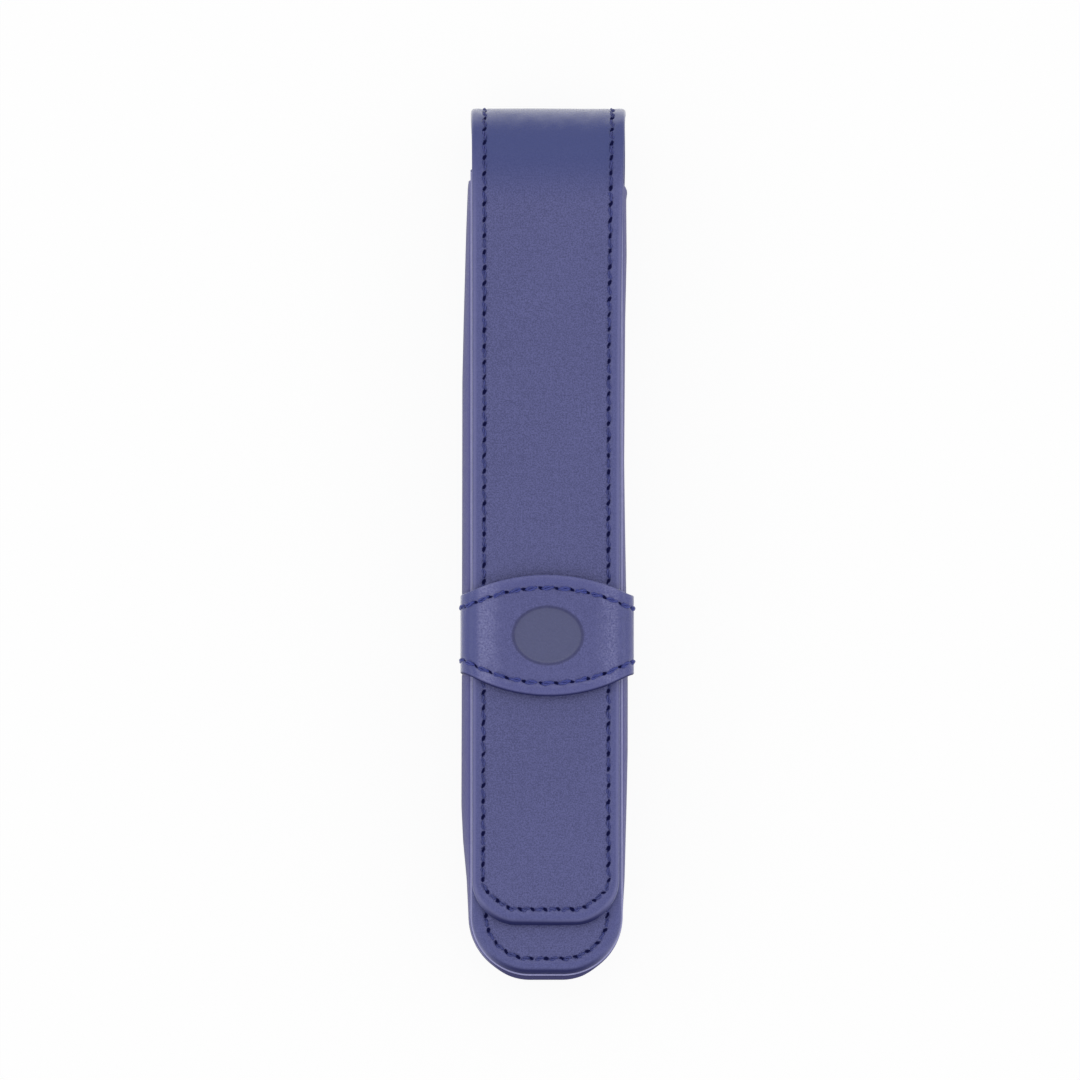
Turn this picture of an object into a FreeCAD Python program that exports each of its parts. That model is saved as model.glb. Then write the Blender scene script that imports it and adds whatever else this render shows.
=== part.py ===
import FreeCAD, Part
import math
import os

import Sketcher

# Leather sleeve for one pen, in millimetres. It lies on its back, closed: X across, Y up along the pen,
# Z out of the front. The origin is the middle of the back face.

SIZES = {
    # Strap: back, rounded top fold and flap, cut as one strip
    "case_length": 160.0,
    "strap_width": 27.9,
    "tip_width": 27.0,
    "tip_rise": 10.5,
    "tip_radius": 8.6,
    "leather_thickness": 1.0,
    "lining_thickness": 0.7,
    "board_thickness": 0.4,
    "layer_gap": 0.3,
    "crease_gap": 0.1,
    "crease_share": 0.25,
    "tail_margin": 3.0,
    # Pouch: front panel and gusset
    "pocket_depth": 12.0,
    "mouth_drop": 11.6,
    "foot_radius": 11.0,
    "gusset_drop": 13.4,
    "gusset_thickness": 0.8,
    "gusset_bulge": 0.8,
    "flange_width": 4.2,
    # Keeper band
    "keeper_drop": 96.7,
    "keeper_height": 22.2,
    "keeper_side_height": 14.1,
    "keeper_leather_thickness": 0.75,
    "keeper_lining_thickness": 0.45,
    "keeper_clearance": 0.1,
    "keeper_bend_radius": 1.8,
    "keeper_tab_radius": 0.5,
    # Seams
    "seam_inset": 2.4,
    "stitch_pitch": 2.9,
    "stitch_length": 2.1,
    "stitch_width": 0.7,
    "stitch_height": 0.22,
    "groove_width": 0.9,
    "groove_depth": 0.3,
    # Cutting tools reach this far past what they cut
    "cut_overrun": 2.0,
}

doc = FreeCAD.newDocument("pen_sleeve")
sheet = doc.addObject("Spreadsheet::Sheet", "Sheet")
for row, (alias, value) in enumerate(SIZES.items(), start=1):
    sheet.set(f"A{row}", alias)
    sheet.set(f"B{row}", str(value))
    sheet.setAlias(f"B{row}", alias)
doc.recompute()


class Size:
    """A value together with the sheet expression that it is bound to."""

    def __init__(self, text, value):
        self.text = text
        self.value = value

    def joined(self, sign, other, value):
        return Size(f"({self.text} {sign} {other.text})", value)

    def __add__(self, other):
        return self.joined("+", other, self.value + other.value)

    def __sub__(self, other):
        return self.joined("-", other, self.value - other.value)

    def __mul__(self, other):
        other = plain(other)
        return self.joined("*", other, self.value * other.value)

    def __truediv__(self, other):
        other = plain(other)
        return self.joined("/", other, self.value / other.value)

    def __neg__(self):
        return Size(f"(-1 * {self.text})", -self.value)


def plain(number):
    """A Size for a bare count or factor; a Size comes back as it is."""
    return number if isinstance(number, Size) else Size(str(number), number)


def size(alias):
    """A driving dimension of the sheet."""
    return Size(f"Sheet.{alias}", float(getattr(sheet, alias)))


def root(square):
    return Size(f"sqrt({square.text})", math.sqrt(square.value))


def sine(angle):
    return Size(f"sin({angle.text})", math.sin(math.radians(angle.value)))


def cosine(angle):
    return Size(f"cos({angle.text})", math.cos(math.radians(angle.value)))


def bow_radius(half_chord, rise):
    """Radius of an arc with this half chord and rise."""
    return (half_chord * half_chord + rise * rise) / (rise * 2)


# Sizes that several pieces share
ZERO = Size("0", 0.0)
leather = size("leather_thickness")
lining = size("lining_thickness")
board = size("board_thickness")
overrun = size("cut_overrun")
seam_inset = size("seam_inset")
groove_width = size("groove_width")
groove_depth = size("groove_depth")
half_strap = size("strap_width") / 2
half_tip = size("tip_width") / 2
foot_radius = size("foot_radius")
tip_radius = size("tip_radius")
seam_half = half_strap - seam_inset

# Levels above the table, from the back to the keeper
back_inside = leather + board + lining
front_inside = back_inside + size("pocket_depth")
front_top = front_inside + lining + board + leather
flap_under = front_top + size("layer_gap")
flap_top = flap_under + lining + leather
keeper_inside = flap_top + size("layer_gap")
keeper_lining = size("keeper_lining_thickness")
keeper_thickness = keeper_lining + size("keeper_leather_thickness")
keeper_top = keeper_inside + keeper_thickness

# Places along the sleeve
crown = size("case_length") / 2
fold_radius = flap_top / 2
fold_y = crown - fold_radius
panel_foot = size("gusset_bulge") - crown
mouth = crown - size("mouth_drop")
gusset_top = crown - size("gusset_drop")
tip = size("tip_rise") - crown
keeper_y = crown - size("keeper_drop")
tail_top = keeper_y + size("keeper_height") / 2 + size("tail_margin")

# Angles round the fold's centre: the back is below, the flap above, the crown at zero
QUARTER = Size("90 deg", 90.0)
from_end = Size(f"(180 deg * {size('crease_share').text})", 180.0 * size("crease_share").value)
rear_crease = from_end - QUARTER
front_crease = QUARTER - from_end
gap_ratio = size("crease_gap") / fold_radius
gap_angle = Size(f"({gap_ratio.text} * 1 rad)", math.degrees(gap_ratio.value))


def flap_half(y):
    """Half width of the flap at a height, which narrows evenly from the fold to the tip."""
    return half_tip + (half_strap - half_tip) * ((y - tip) / (fold_y - tip))


# Sketch helpers
def new_body(label):
    body = doc.addObject("PartDesign::Body", label)
    body.Label = label
    return body


def new_sketch(body, name, role, offset=(ZERO, ZERO, ZERO)):
    """A sketch on one of the body's origin planes, moved along the plane's own axes."""
    sketch = body.newObject("Sketcher::SketchObject", name)
    plane = next(feature for feature in body.Origin.OriginFeatures if feature.Role == role)
    sketch.AttachmentSupport = [(plane, "")]
    sketch.MapMode = "FlatFace"
    for axis, distance in zip("xyz", offset):
        sketch.setExpression(f"AttachmentOffset.Base.{axis}", distance.text)
    return sketch


def bound(sketch, name, value, kind, *where):
    """Adds a dimension and ties it to the sheet."""
    index = sketch.addConstraint(Sketcher.Constraint(kind, *where, value.value))
    sketch.renameConstraint(index, name)
    sketch.setExpression(f"Constraints.{name}", value.text)


def arc_between(start, stop, radius, leftward):
    """The shorter arc from start to stop that turns left or right."""
    chord = stop - start
    middle = (start + stop) * 0.5
    side = FreeCAD.Vector(-chord.y, chord.x, 0).normalize() * (1 if leftward else -1)
    centre = middle + side * math.sqrt(max(radius * radius - chord.Length * chord.Length / 4, 0))
    first, last = (start, stop) if leftward else (stop, start)
    angles = [math.atan2(point.y - centre.y, point.x - centre.x) for point in (first, last)]
    circle = Part.Circle(centre, FreeCAD.Vector(0, 0, 1), radius)
    return Part.ArcOfCircle(circle, *angles)


def draw(sketch, points, closed=True):
    """Draws an outline. A point holds x, y and, where an arc follows it, that arc's radius and turn."""
    places = [FreeCAD.Vector(point[0].value, point[1].value, 0) for point in points]
    count = len(points) if closed else len(points) - 1
    runs = []
    for i in range(count):
        start, stop = places[i], places[(i + 1) % len(points)]
        if len(points[i]) == 2:
            index = sketch.addGeometry(Part.LineSegment(start, stop), False)
            runs.append((index, 1, 2))
            continue
        radius, leftward = points[i][2:]
        index = sketch.addGeometry(arc_between(start, stop, radius.value, leftward), False)
        runs.append((index, 1, 2) if leftward else (index, 2, 1))
        bound(sketch, f"radius{index}", radius, "Radius", index)
    for i, (index, begin, end) in enumerate(runs):
        bound(sketch, f"across{index}", points[i][0], "DistanceX", -1, 1, index, begin)
        bound(sketch, f"along{index}", points[i][1], "DistanceY", -1, 1, index, begin)
        if closed or i + 1 < count:
            following, onward, _ = runs[(i + 1) % count]
            sketch.addConstraint(Sketcher.Constraint("Coincident", index, end, following, onward))
        else:
            bound(sketch, "last_across", points[-1][0], "DistanceX", -1, 1, index, end)
            bound(sketch, "last_along", points[-1][1], "DistanceY", -1, 1, index, end)


def mirrored(points):
    """The same outline on the other side of the Y axis, in the same turning sense."""
    flipped = []
    for i in range(len(points) - 1, -1, -1):
        run = points[i - 1][2:]
        flipped.append((-points[i][0], points[i][1], *run))
    return flipped


def pad(body, sketch, length, both_ways=False):
    feature = body.newObject("PartDesign::Pad", f"{body.Label}_pad")
    feature.Profile = sketch
    feature.setExpression("Length", length.text)
    feature.SideType = "Symmetric" if both_ways else "One side"
    return feature


def pocket(body, sketch, depth, upward=False, both_ways=False):
    """Cuts a sketch into the body and makes sure that it took something away."""
    doc.recompute()
    before = body.Shape.Volume
    feature = body.newObject("PartDesign::Pocket", f"{body.Label}_pocket")
    feature.Profile = sketch
    feature.setExpression("Length", depth.text)
    feature.Reversed = upward
    feature.SideType = "Symmetric" if both_ways else "One side"
    doc.recompute()
    if not body.Shape.Volume < before:
        raise RuntimeError(f"a cut in {body.Label} took nothing away")
    return feature


# Outlines seen from the front
def u_outline(half_top, half_foot, top, foot, radius):
    """A panel with a straight top and two rounded lower corners."""
    return [
        (-half_top, top),
        (-half_foot, foot + radius, radius, True),
        (radius - half_foot, foot),
        (half_foot - radius, foot, radius, True),
        (half_foot, foot + radius),
        (half_top, top),
    ]


def u_groove(half_top, half_foot, top, foot, radius):
    """The seam's groove, a ring open at the top, one inset inside the panel's edge."""
    outer = seam_inset - groove_width / 2
    inner = seam_inset + groove_width / 2
    return [
        (outer - half_top, top),
        (outer - half_foot, foot + radius, radius - outer, True),
        (radius - half_foot, foot + outer),
        (half_foot - radius, foot + outer, radius - outer, True),
        (half_foot - outer, foot + radius),
        (half_top - outer, top),
        (half_top - inner, top),
        (half_foot - inner, foot + radius, radius - inner, False),
        (half_foot - radius, foot + inner),
        (radius - half_foot, foot + inner, radius - inner, False),
        (inner - half_foot, foot + radius),
        (inner - half_top, top),
    ]


def strip_outline(half_top, half_foot, top, foot):
    """A straight strip that may narrow towards the foot."""
    return [(-half_top, top), (-half_foot, foot), (half_foot, foot), (half_top, top)]


def sector_outline(inner, outer, start, stop):
    """A stretch of the fold's wall, about the fold's own centre."""
    return [
        (outer * cosine(start), outer * sine(start), outer, True),
        (outer * cosine(stop), outer * sine(stop)),
        (inner * cosine(stop), inner * sine(stop), inner, False),
        (inner * cosine(start), inner * sine(start)),
    ]


# Features that several pieces share
def plate(label, outline, level, thickness):
    body = new_body(label)
    sketch = new_sketch(body, f"{label}_outline", "XY_Plane", (ZERO, ZERO, level))
    draw(sketch, outline)
    pad(body, sketch, thickness)
    return body


def cut_grooves(body, outlines, level, upward=False):
    for outline in outlines:
        sketch = new_sketch(body, f"{body.Label}_groove", "XY_Plane", (ZERO, ZERO, level))
        draw(sketch, outline)
        pocket(body, sketch, groove_depth, upward)


def add_sector(body, inner, outer, start, stop):
    """Adds a stretch of the fold's wall, as wide as the strap."""
    sketch = new_sketch(body, f"{body.Label}_sector", "YZ_Plane", (fold_y, fold_radius, ZERO))
    draw(sketch, sector_outline(inner, outer, start, stop))
    pad(body, sketch, size("strap_width"), both_ways=True)


def cut_sector_grooves(body, start, stop):
    """Carries both side seams' grooves over the fold."""
    for place in (-seam_half, seam_half):
        sketch = new_sketch(body, f"{body.Label}_groove", "YZ_Plane", (fold_y, fold_radius, place))
        draw(sketch, sector_outline(fold_radius - groove_depth, fold_radius + overrun, start, stop))
        pocket(body, sketch, groove_width, both_ways=True)


# Back
panel_back = u_outline(half_strap, half_strap, fold_y, panel_foot, foot_radius)
panel_front = u_outline(half_strap, half_strap, mouth, panel_foot, foot_radius)
fold_lining_outer = fold_radius - leather
fold_lining_inner = fold_lining_outer - lining

back_panel = plate("back_panel", panel_back, ZERO, leather)
add_sector(back_panel, fold_lining_outer, fold_radius, -QUARTER, rear_crease)
cut_grooves(back_panel, [u_groove(half_strap, half_strap, fold_y, panel_foot, foot_radius)], ZERO, upward=True)
cut_sector_grooves(back_panel, -QUARTER, rear_crease)

plate("back_board", panel_back, leather, board)

back_lining = plate("back_lining", panel_back, leather + board, lining)
add_sector(back_lining, fold_lining_inner, fold_lining_outer, -QUARTER, rear_crease)

# Pouch front
front_panel = plate("front_panel", panel_front, front_top - leather, leather)
mouth_half = seam_half - groove_width
mouth_seam = mouth - seam_inset
mouth_groove = strip_outline(
    mouth_half, mouth_half, mouth_seam + groove_width / 2, mouth_seam - groove_width / 2
)
front_groove = u_groove(half_strap, half_strap, mouth, panel_foot, foot_radius)
cut_grooves(front_panel, [front_groove, mouth_groove], front_top)

plate("front_board", panel_front, front_inside + lining, board)
plate("front_lining", panel_front, front_inside, lining)

# Gusset: a channel with inward flanges, swept round both sides and the foot
gusset_wall = size("gusset_thickness")
flange_edge = half_strap - size("flange_width")
half_depth = size("pocket_depth") / 2
wall_radius = bow_radius(half_depth, size("gusset_bulge"))
wall_centre = half_strap + size("gusset_bulge") - wall_radius
inner_radius = wall_radius - gusset_wall
inner_rise = half_depth - gusset_wall
wall_inside = wall_centre + root(inner_radius * inner_radius - inner_rise * inner_rise)

gusset = new_body("gusset")
gusset_path = new_sketch(gusset, "gusset_path", "XY_Plane")
draw(
    gusset_path,
    [
        (half_strap, gusset_top),
        (half_strap, panel_foot + foot_radius, foot_radius, False),
        (half_strap - foot_radius, panel_foot),
        (foot_radius - half_strap, panel_foot, foot_radius, False),
        (-half_strap, panel_foot + foot_radius),
        (-half_strap, gusset_top),
    ],
    closed=False,
)
gusset_section = new_sketch(gusset, "gusset_section", "XZ_Plane", (ZERO, ZERO, -gusset_top))
draw(
    gusset_section,
    [
        (flange_edge, back_inside),
        (half_strap, back_inside, wall_radius, True),
        (half_strap, front_inside),
        (flange_edge, front_inside),
        (flange_edge, front_inside - gusset_wall),
        (wall_inside, front_inside - gusset_wall, inner_radius, False),
        (wall_inside, back_inside + gusset_wall),
        (flange_edge, back_inside + gusset_wall),
    ],
)
gusset_sweep = gusset.newObject("PartDesign::AdditivePipe", "gusset_sweep")
gusset_sweep.Profile = gusset_section
gusset_sweep.Spine = (gusset_path, [])

# The keeper's end tabs pass through these notches
notch_half = size("keeper_side_height") / 2 + size("keeper_clearance")
notch_sketch = new_sketch(gusset, "keeper_notch", "XY_Plane", (ZERO, ZERO, back_inside))
notch_outline = [
    (flange_edge - overrun, keeper_y - notch_half),
    (half_strap + overrun, keeper_y - notch_half),
    (half_strap + overrun, keeper_y + notch_half),
    (flange_edge - overrun, keeper_y + notch_half),
]
draw(notch_sketch, notch_outline)
draw(notch_sketch, mirrored(notch_outline))
pocket(gusset, notch_sketch, keeper_thickness + size("keeper_clearance"), upward=True)

# Keeper: a barrel-shaped band over the flap, down both sides and in under the gusset
keeper_half = half_strap + size("gusset_bulge") + size("keeper_clearance")
bend = size("keeper_bend_radius")
bend_half = keeper_half - bend
bend_level = keeper_inside - bend
tab_bend = size("keeper_tab_radius")
tab_level = back_inside + keeper_thickness
half_height = size("keeper_height") / 2
half_side = size("keeper_side_height") / 2
barrel_radius = bow_radius(keeper_half, half_height - half_side)
barrel_reach = keeper_half + keeper_thickness + overrun


def keeper_bridge(near, far):
    """Section of one layer over the flap, between two distances from the keeper's inside."""
    return [
        (keeper_half + near, bend_level),
        (keeper_half + far, bend_level, bend + far, True),
        (bend_half, keeper_inside + far),
        (-bend_half, keeper_inside + far, bend + far, True),
        (-(keeper_half + far), bend_level),
        (-(keeper_half + near), bend_level, bend + near, False),
        (-bend_half, keeper_inside + near),
        (bend_half, keeper_inside + near, bend + near, False),
    ]


def keeper_leg(near, far):
    """Section of one layer down the right side and in along the back lining."""
    return [
        (keeper_half + near, bend_level),
        (keeper_half + near, tab_level + tab_bend, tab_bend + near, False),
        (keeper_half - tab_bend, tab_level - near),
        (flange_edge, tab_level - near),
        (flange_edge, tab_level - far),
        (keeper_half - tab_bend, tab_level - far, tab_bend + far, True),
        (keeper_half + far, tab_level + tab_bend),
        (keeper_half + far, bend_level),
    ]


def barrel_waste(way):
    """What is trimmed off above (way 1) or below (way -1) the band's bowed edge."""
    return [
        (keeper_half, half_side * way, barrel_radius, way == 1),
        (-keeper_half, half_side * way),
        (-barrel_reach, half_side * way),
        (-barrel_reach, (half_height + overrun) * way),
        (barrel_reach, (half_height + overrun) * way),
        (barrel_reach, half_side * way),
    ]


def barrel_groove(way):
    """The groove along one bowed edge, over the flat of the band."""
    centre = half_height - barrel_radius
    outer = barrel_radius - seam_inset + groove_width / 2
    inner = barrel_radius - seam_inset - groove_width / 2
    outer_end = (centre + root(outer * outer - bend_half * bend_half)) * way
    inner_end = (centre + root(inner * inner - bend_half * bend_half)) * way
    return [
        (bend_half, outer_end, outer, way == 1),
        (-bend_half, outer_end),
        (-bend_half, inner_end, inner, way == -1),
        (bend_half, inner_end),
    ]


def keeper_layer(label, near, far):
    body = new_body(label)
    body.setExpression("Placement.Base.y", keeper_y.text)
    bridge = new_sketch(body, f"{label}_bridge", "XZ_Plane")
    draw(bridge, keeper_bridge(near, far))
    pad(body, bridge, size("keeper_height"), both_ways=True)
    for way in (1, -1):
        waste = new_sketch(body, f"{label}_waste", "XY_Plane")
        draw(waste, barrel_waste(way))
        pocket(body, waste, keeper_top + overrun, upward=True)
    legs = new_sketch(body, f"{label}_legs", "XZ_Plane")
    draw(legs, keeper_leg(near, far))
    draw(legs, mirrored(keeper_leg(near, far)))
    pad(body, legs, size("keeper_side_height"), both_ways=True)
    return body


keeper_band = keeper_layer("keeper_band", keeper_lining, keeper_thickness)
cut_grooves(keeper_band, [barrel_groove(1), barrel_groove(-1)], keeper_top)
keeper_layer("keeper_lining", ZERO, keeper_lining)

# Top fold: the stretch between the two creases
fold_start = rear_crease + gap_angle
fold_stop = front_crease - gap_angle
fold_leather = new_body("fold_leather")
add_sector(fold_leather, fold_lining_outer, fold_radius, fold_start, fold_stop)
cut_sector_grooves(fold_leather, fold_start, fold_stop)
fold_lining = new_body("fold_lining")
add_sector(fold_lining, fold_lining_inner, fold_lining_outer, fold_start, fold_stop)

# Flap, and its tail from just above the keeper down to the tip
tail_half = flap_half(tail_top)
flap_strip = strip_outline(half_strap, tail_half, fold_y, tail_top)
tail_outline = u_outline(tail_half, half_tip, tail_top, tip, tip_radius)
groove_outer = seam_inset - groove_width / 2
groove_inner = seam_inset + groove_width / 2
flap_groove = [
    (half_strap - groove_inner, fold_y),
    (tail_half - groove_inner, tail_top),
    (tail_half - groove_outer, tail_top),
    (half_strap - groove_outer, fold_y),
]

flap_leather = plate("flap_leather", flap_strip, flap_top - leather, leather)
add_sector(flap_leather, fold_lining_outer, fold_radius, front_crease, QUARTER)
cut_grooves(flap_leather, [flap_groove, mirrored(flap_groove)], flap_top)
cut_sector_grooves(flap_leather, front_crease, QUARTER)
flap_lining = plate("flap_lining", flap_strip, flap_under, lining)
add_sector(flap_lining, fold_lining_inner, fold_lining_outer, front_crease, QUARTER)

tail_leather = plate("tail_leather", tail_outline, flap_top - leather, leather)
cut_grooves(tail_leather, [u_groove(tail_half, half_tip, tail_top, tip, tip_radius)], flap_top)
plate("tail_lining", tail_outline, flap_under, lining)

# Stitches: one short bar of thread for each, lying in its groove


def point(x, y, z):
    return FreeCAD.Vector(x.value, y.value, z.value)


def line(start, stop):
    return Part.LineSegment(start, stop).toShape()


def u_seam(half_top, half_foot, top, foot, radius, level):
    """The seam line of a rounded panel, from the top left round the foot to the top right."""
    run = radius - seam_inset
    corner_share = Size("sqrt(0.5)", math.sqrt(0.5))
    edges = []
    for way in (-1, 1):
        side = point((half_foot - seam_inset) * way, foot + radius, level)
        low = point((half_foot - radius) * way, foot + seam_inset, level)
        reach = half_foot - radius + run * corner_share
        between = point(reach * way, foot + radius - run * corner_share, level)
        straight = line(point((half_top - seam_inset) * way, top, level), side)
        edges.append([straight, Part.Arc(side, between, low).toShape(), low])
    left, right = edges
    foot_edge = line(left[2], right[2])
    return Part.Wire([left[0], left[1], foot_edge, right[1], right[0]])


def sector_seams(start, stop):
    """Both side seams over a stretch of the fold."""
    radius = fold_radius - groove_depth
    middle = (start + stop) / 2
    wires = []
    for place in (-seam_half, seam_half):
        spots = [
            point(place, fold_y + radius * cosine(angle), fold_radius + radius * sine(angle))
            for angle in (start, middle, stop)
        ]
        wires.append(Part.Wire([Part.Arc(*spots).toShape()]))
    return wires


def barrel_seam(way):
    """The seam line along one bowed edge of the keeper."""
    radius = barrel_radius - seam_inset
    centre = half_height - barrel_radius
    end = keeper_y + (centre + root(radius * radius - bend_half * bend_half)) * way
    level = keeper_top - groove_depth
    crest = point(ZERO, keeper_y + (centre + radius) * way, level)
    arc = Part.Arc(point(-bend_half, end, level), crest, point(bend_half, end, level))
    return Part.Wire([arc.toShape()])


def upward(_place):
    return FreeCAD.Vector(0, 0, 1)


def downward(_place):
    return FreeCAD.Vector(0, 0, -1)


def outward(place):
    """Away from the fold's centre line."""
    return FreeCAD.Vector(0, place.y - fold_y.value, place.z - fold_radius.value).normalize()


def thread_bar():
    """One stitch with rounded ends, lying along X on the XY plane."""
    radius = size("stitch_width").value / 2
    reach = size("stitch_length").value / 2 - radius
    ends = []
    for way in (1, -1):
        spots = [
            FreeCAD.Vector(reach * way, -radius * way, 0),
            FreeCAD.Vector((reach + radius) * way, 0, 0),
            FreeCAD.Vector(reach * way, radius * way, 0),
        ]
        ends.append((spots, Part.Arc(*spots).toShape()))
    (first, first_arc), (last, last_arc) = ends
    outline = Part.Wire([first_arc, line(first[2], last[0]), last_arc, line(last[2], first[0])])
    return Part.Face(outline).extrude(FreeCAD.Vector(0, 0, size("stitch_height").value))


def stitches(label, seams):
    """A node of separate stitches, spread evenly along each seam; a seam is a wire and its upward side."""
    bar = thread_bar()
    bars = []
    for wire, up_at in seams:
        count = max(1, round(wire.Length / size("stitch_pitch").value))
        marks = wire.discretize(Number=2 * count + 1)
        for i in range(count):
            before, middle, after = marks[2 * i : 2 * i + 3]
            along = (after - before).normalize()
            up = up_at(middle)
            stitch = bar.copy()
            turn = FreeCAD.Rotation(along, up.cross(along), up, "ZXY")
            stitch.Placement = FreeCAD.Placement(middle, turn)
            bars.append(stitch)
    node = doc.addObject("Part::Feature", label)
    node.Shape = Part.makeCompound(bars)
    node.Label = label


def each(wires, up_at):
    return [(wire, up_at) for wire in wires]


front_floor = front_top - groove_depth
flap_floor = flap_top - groove_depth
flap_sides = [
    Part.Wire([line(point(seam_half * way, fold_y, flap_floor),
                    point((tail_half - seam_inset) * way, tail_top, flap_floor))])
    for way in (-1, 1)
]
back_seam = u_seam(half_strap, half_strap, fold_y, panel_foot, foot_radius, groove_depth)
front_seam = u_seam(half_strap, half_strap, mouth, panel_foot, foot_radius, front_floor)
tail_seam = u_seam(tail_half, half_tip, tail_top, tip, tip_radius, flap_floor)
mouth_line = line(point(-mouth_half, mouth_seam, front_floor), point(mouth_half, mouth_seam, front_floor))

stitches("back_seam_stitches", each([back_seam], downward) + each(sector_seams(-QUARTER, rear_crease), outward))
stitches("front_seam_stitches", each([front_seam], upward))
stitches("mouth_stitches", each([Part.Wire([mouth_line])], upward))
stitches("keeper_upper_stitches", each([barrel_seam(1)], upward))
stitches("keeper_lower_stitches", each([barrel_seam(-1)], upward))
stitches("fold_stitches", each(sector_seams(fold_start, fold_stop), outward))
stitches("flap_stitches", each(flap_sides, upward) + each(sector_seams(front_crease, QUARTER), outward))
stitches("tail_stitches", each([tail_seam], upward))

# Check every object, then write one file for each piece
doc.recompute()
for item in doc.Objects:
    if "Invalid" in item.State or "Error" in item.State:
        raise RuntimeError(f"{item.Label} failed: {item.State}")
pieces = [item for item in doc.Objects if item.TypeId in ("PartDesign::Body", "Part::Feature")]
for piece in pieces:
    if piece.Shape.isNull() or not piece.Shape.isValid():
        raise RuntimeError(f"{piece.Label} has no valid shape")

os.makedirs("parts", exist_ok=True)
for piece in pieces:
    piece.Shape.exportStep(os.path.join("parts", f"{piece.Label}.step"))

for name, crease in (("rear", rear_crease), ("front", front_crease)):
    height = fold_radius + fold_radius * sine(crease)
    reach = fold_y + fold_radius * cosine(crease)
    print(f"{name} crease axis: y {reach.value:.4f} z {height.value:.4f}")
print(f"{len(pieces)} pieces")
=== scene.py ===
"""Looks of a leather sleeve for one pen, dressed over its packed construction model.

Lengths are millimetres until a mesh is written, which happens in metres in the model's own frame: X across,
Y up along the pen, Z out of the front. Leather is drawn in its flat pattern, as a place across the strip, a
distance down it and a height above its grain side, and is then laid over the sleeve.
"""

import logging
import math
from dataclasses import dataclass, replace
from enum import Enum
from functools import partial
from typing import Any, Callable, Sequence

import bmesh
import bpy
import numpy as np
from mathutils import Matrix, Vector


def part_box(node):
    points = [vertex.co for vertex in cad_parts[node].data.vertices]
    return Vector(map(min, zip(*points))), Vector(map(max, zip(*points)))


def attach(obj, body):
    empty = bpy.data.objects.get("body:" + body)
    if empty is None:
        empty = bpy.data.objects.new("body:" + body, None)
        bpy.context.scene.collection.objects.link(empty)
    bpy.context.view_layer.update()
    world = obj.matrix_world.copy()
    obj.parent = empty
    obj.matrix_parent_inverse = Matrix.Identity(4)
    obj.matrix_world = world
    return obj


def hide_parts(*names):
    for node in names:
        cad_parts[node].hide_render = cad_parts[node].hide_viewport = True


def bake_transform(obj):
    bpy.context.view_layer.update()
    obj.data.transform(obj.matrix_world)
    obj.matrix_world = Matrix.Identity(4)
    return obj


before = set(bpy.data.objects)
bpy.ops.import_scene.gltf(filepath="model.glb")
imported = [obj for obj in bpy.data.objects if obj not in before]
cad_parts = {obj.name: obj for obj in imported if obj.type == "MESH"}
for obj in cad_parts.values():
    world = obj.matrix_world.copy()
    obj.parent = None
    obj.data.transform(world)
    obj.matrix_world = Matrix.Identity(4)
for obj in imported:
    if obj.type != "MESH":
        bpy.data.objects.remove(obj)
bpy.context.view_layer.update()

MM = 0.001
QUARTER = math.pi / 2.0
X, Y, Z = range(3)
LOG = logging.getLogger("pen_sleeve")

Array = np.ndarray
Piece = bpy.types.Object
Material = bpy.types.Material
Placer = Callable[[Array, Array, Array], Array]
Colour = tuple[float, float, float]
Span = tuple[float, float]


class Skin(Enum):
    """Which finish a face of a panel wears."""

    GRAIN = 0
    PAINT = 1
    BEAD = 2


class Face(Enum):
    """Which side of a panel a row of stitches lies on."""

    GRAIN = 1
    LINING = -1


class Half(Enum):
    """Which half of the strap a piece belongs to, and the way that it runs from the crown."""

    BACK = -1
    FLAP = 1


class Side(Enum):
    """Where on the keeper a row of points or stitches counts from."""

    UPPER = 1
    FIELD = 0
    LOWER = -1


def ease(value: Array, low: float, high: float) -> Array:
    """Smooth step: 0 before low, 1 after high and a smooth rise between them."""
    share = np.clip((value - low) / (high - low), 0.0, 1.0)
    return share * share * (3.0 - 2.0 * share)


def mix(first: Array, last: Array, share: Array) -> Array:
    """Values between two others, by shares from 0 to 1."""
    return first * (1.0 - share) + last * share


@dataclass(frozen=True)
class Wave:
    """One sine wave, the rates in radians to a unit of place, among the small differences of hand work."""

    size: float
    rate: float
    cross_rate: float = 0.0
    phase: float = 0.0

    def at(self, place: Array, cross: Array | float = 0.0) -> Array:
        """Heights of the wave at places along it and across it."""
        return self.size * np.sin(self.rate * place + self.cross_rate * cross + self.phase)


SLIT_LATE = (Wave(0.05, 5.1), Wave(0.03, 11.7, phase=2.0))
SLIT_LEAN = (Wave(0.25, 12.9), Wave(0.2, 7.3, phase=1.0))
MEAN_LEAN = 0.85
HAND_WORK = (
    Wave(0.25, 0.11, 0.17, 1.5),
    Wave(0.25, 0.11, -0.17, -0.7),
    Wave(0.3, 0.23, 0.31, 2.0),
    Wave(0.2, 0.41, -0.27),
)


def hand_sewn(stitches: Array) -> tuple[Array, Array]:
    """Small differences from stitch to stitch.

    Args:
        stitches: Stitches sewn up to each place.

    Returns:
        The stitches with each needle slit a little early or late, and how far the nearest slit leans.
    """
    whole = np.round(stitches)
    late = sum(wave.at(whole) for wave in SLIT_LATE)
    return stitches + late, MEAN_LEAN + sum(wave.at(whole) for wave in SLIT_LEAN)


def unevenness(across: Array, down: Array) -> Array:
    """Slow waves of hand-worked leather, at heights between about -1 and 1."""
    return sum(wave.at(down, across) for wave in HAND_WORK)


def as_points(across: Array, up: Array, level: Array) -> Array:
    """Rows of X, Y and Z."""
    return np.stack([across, up, level], axis=1)


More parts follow.
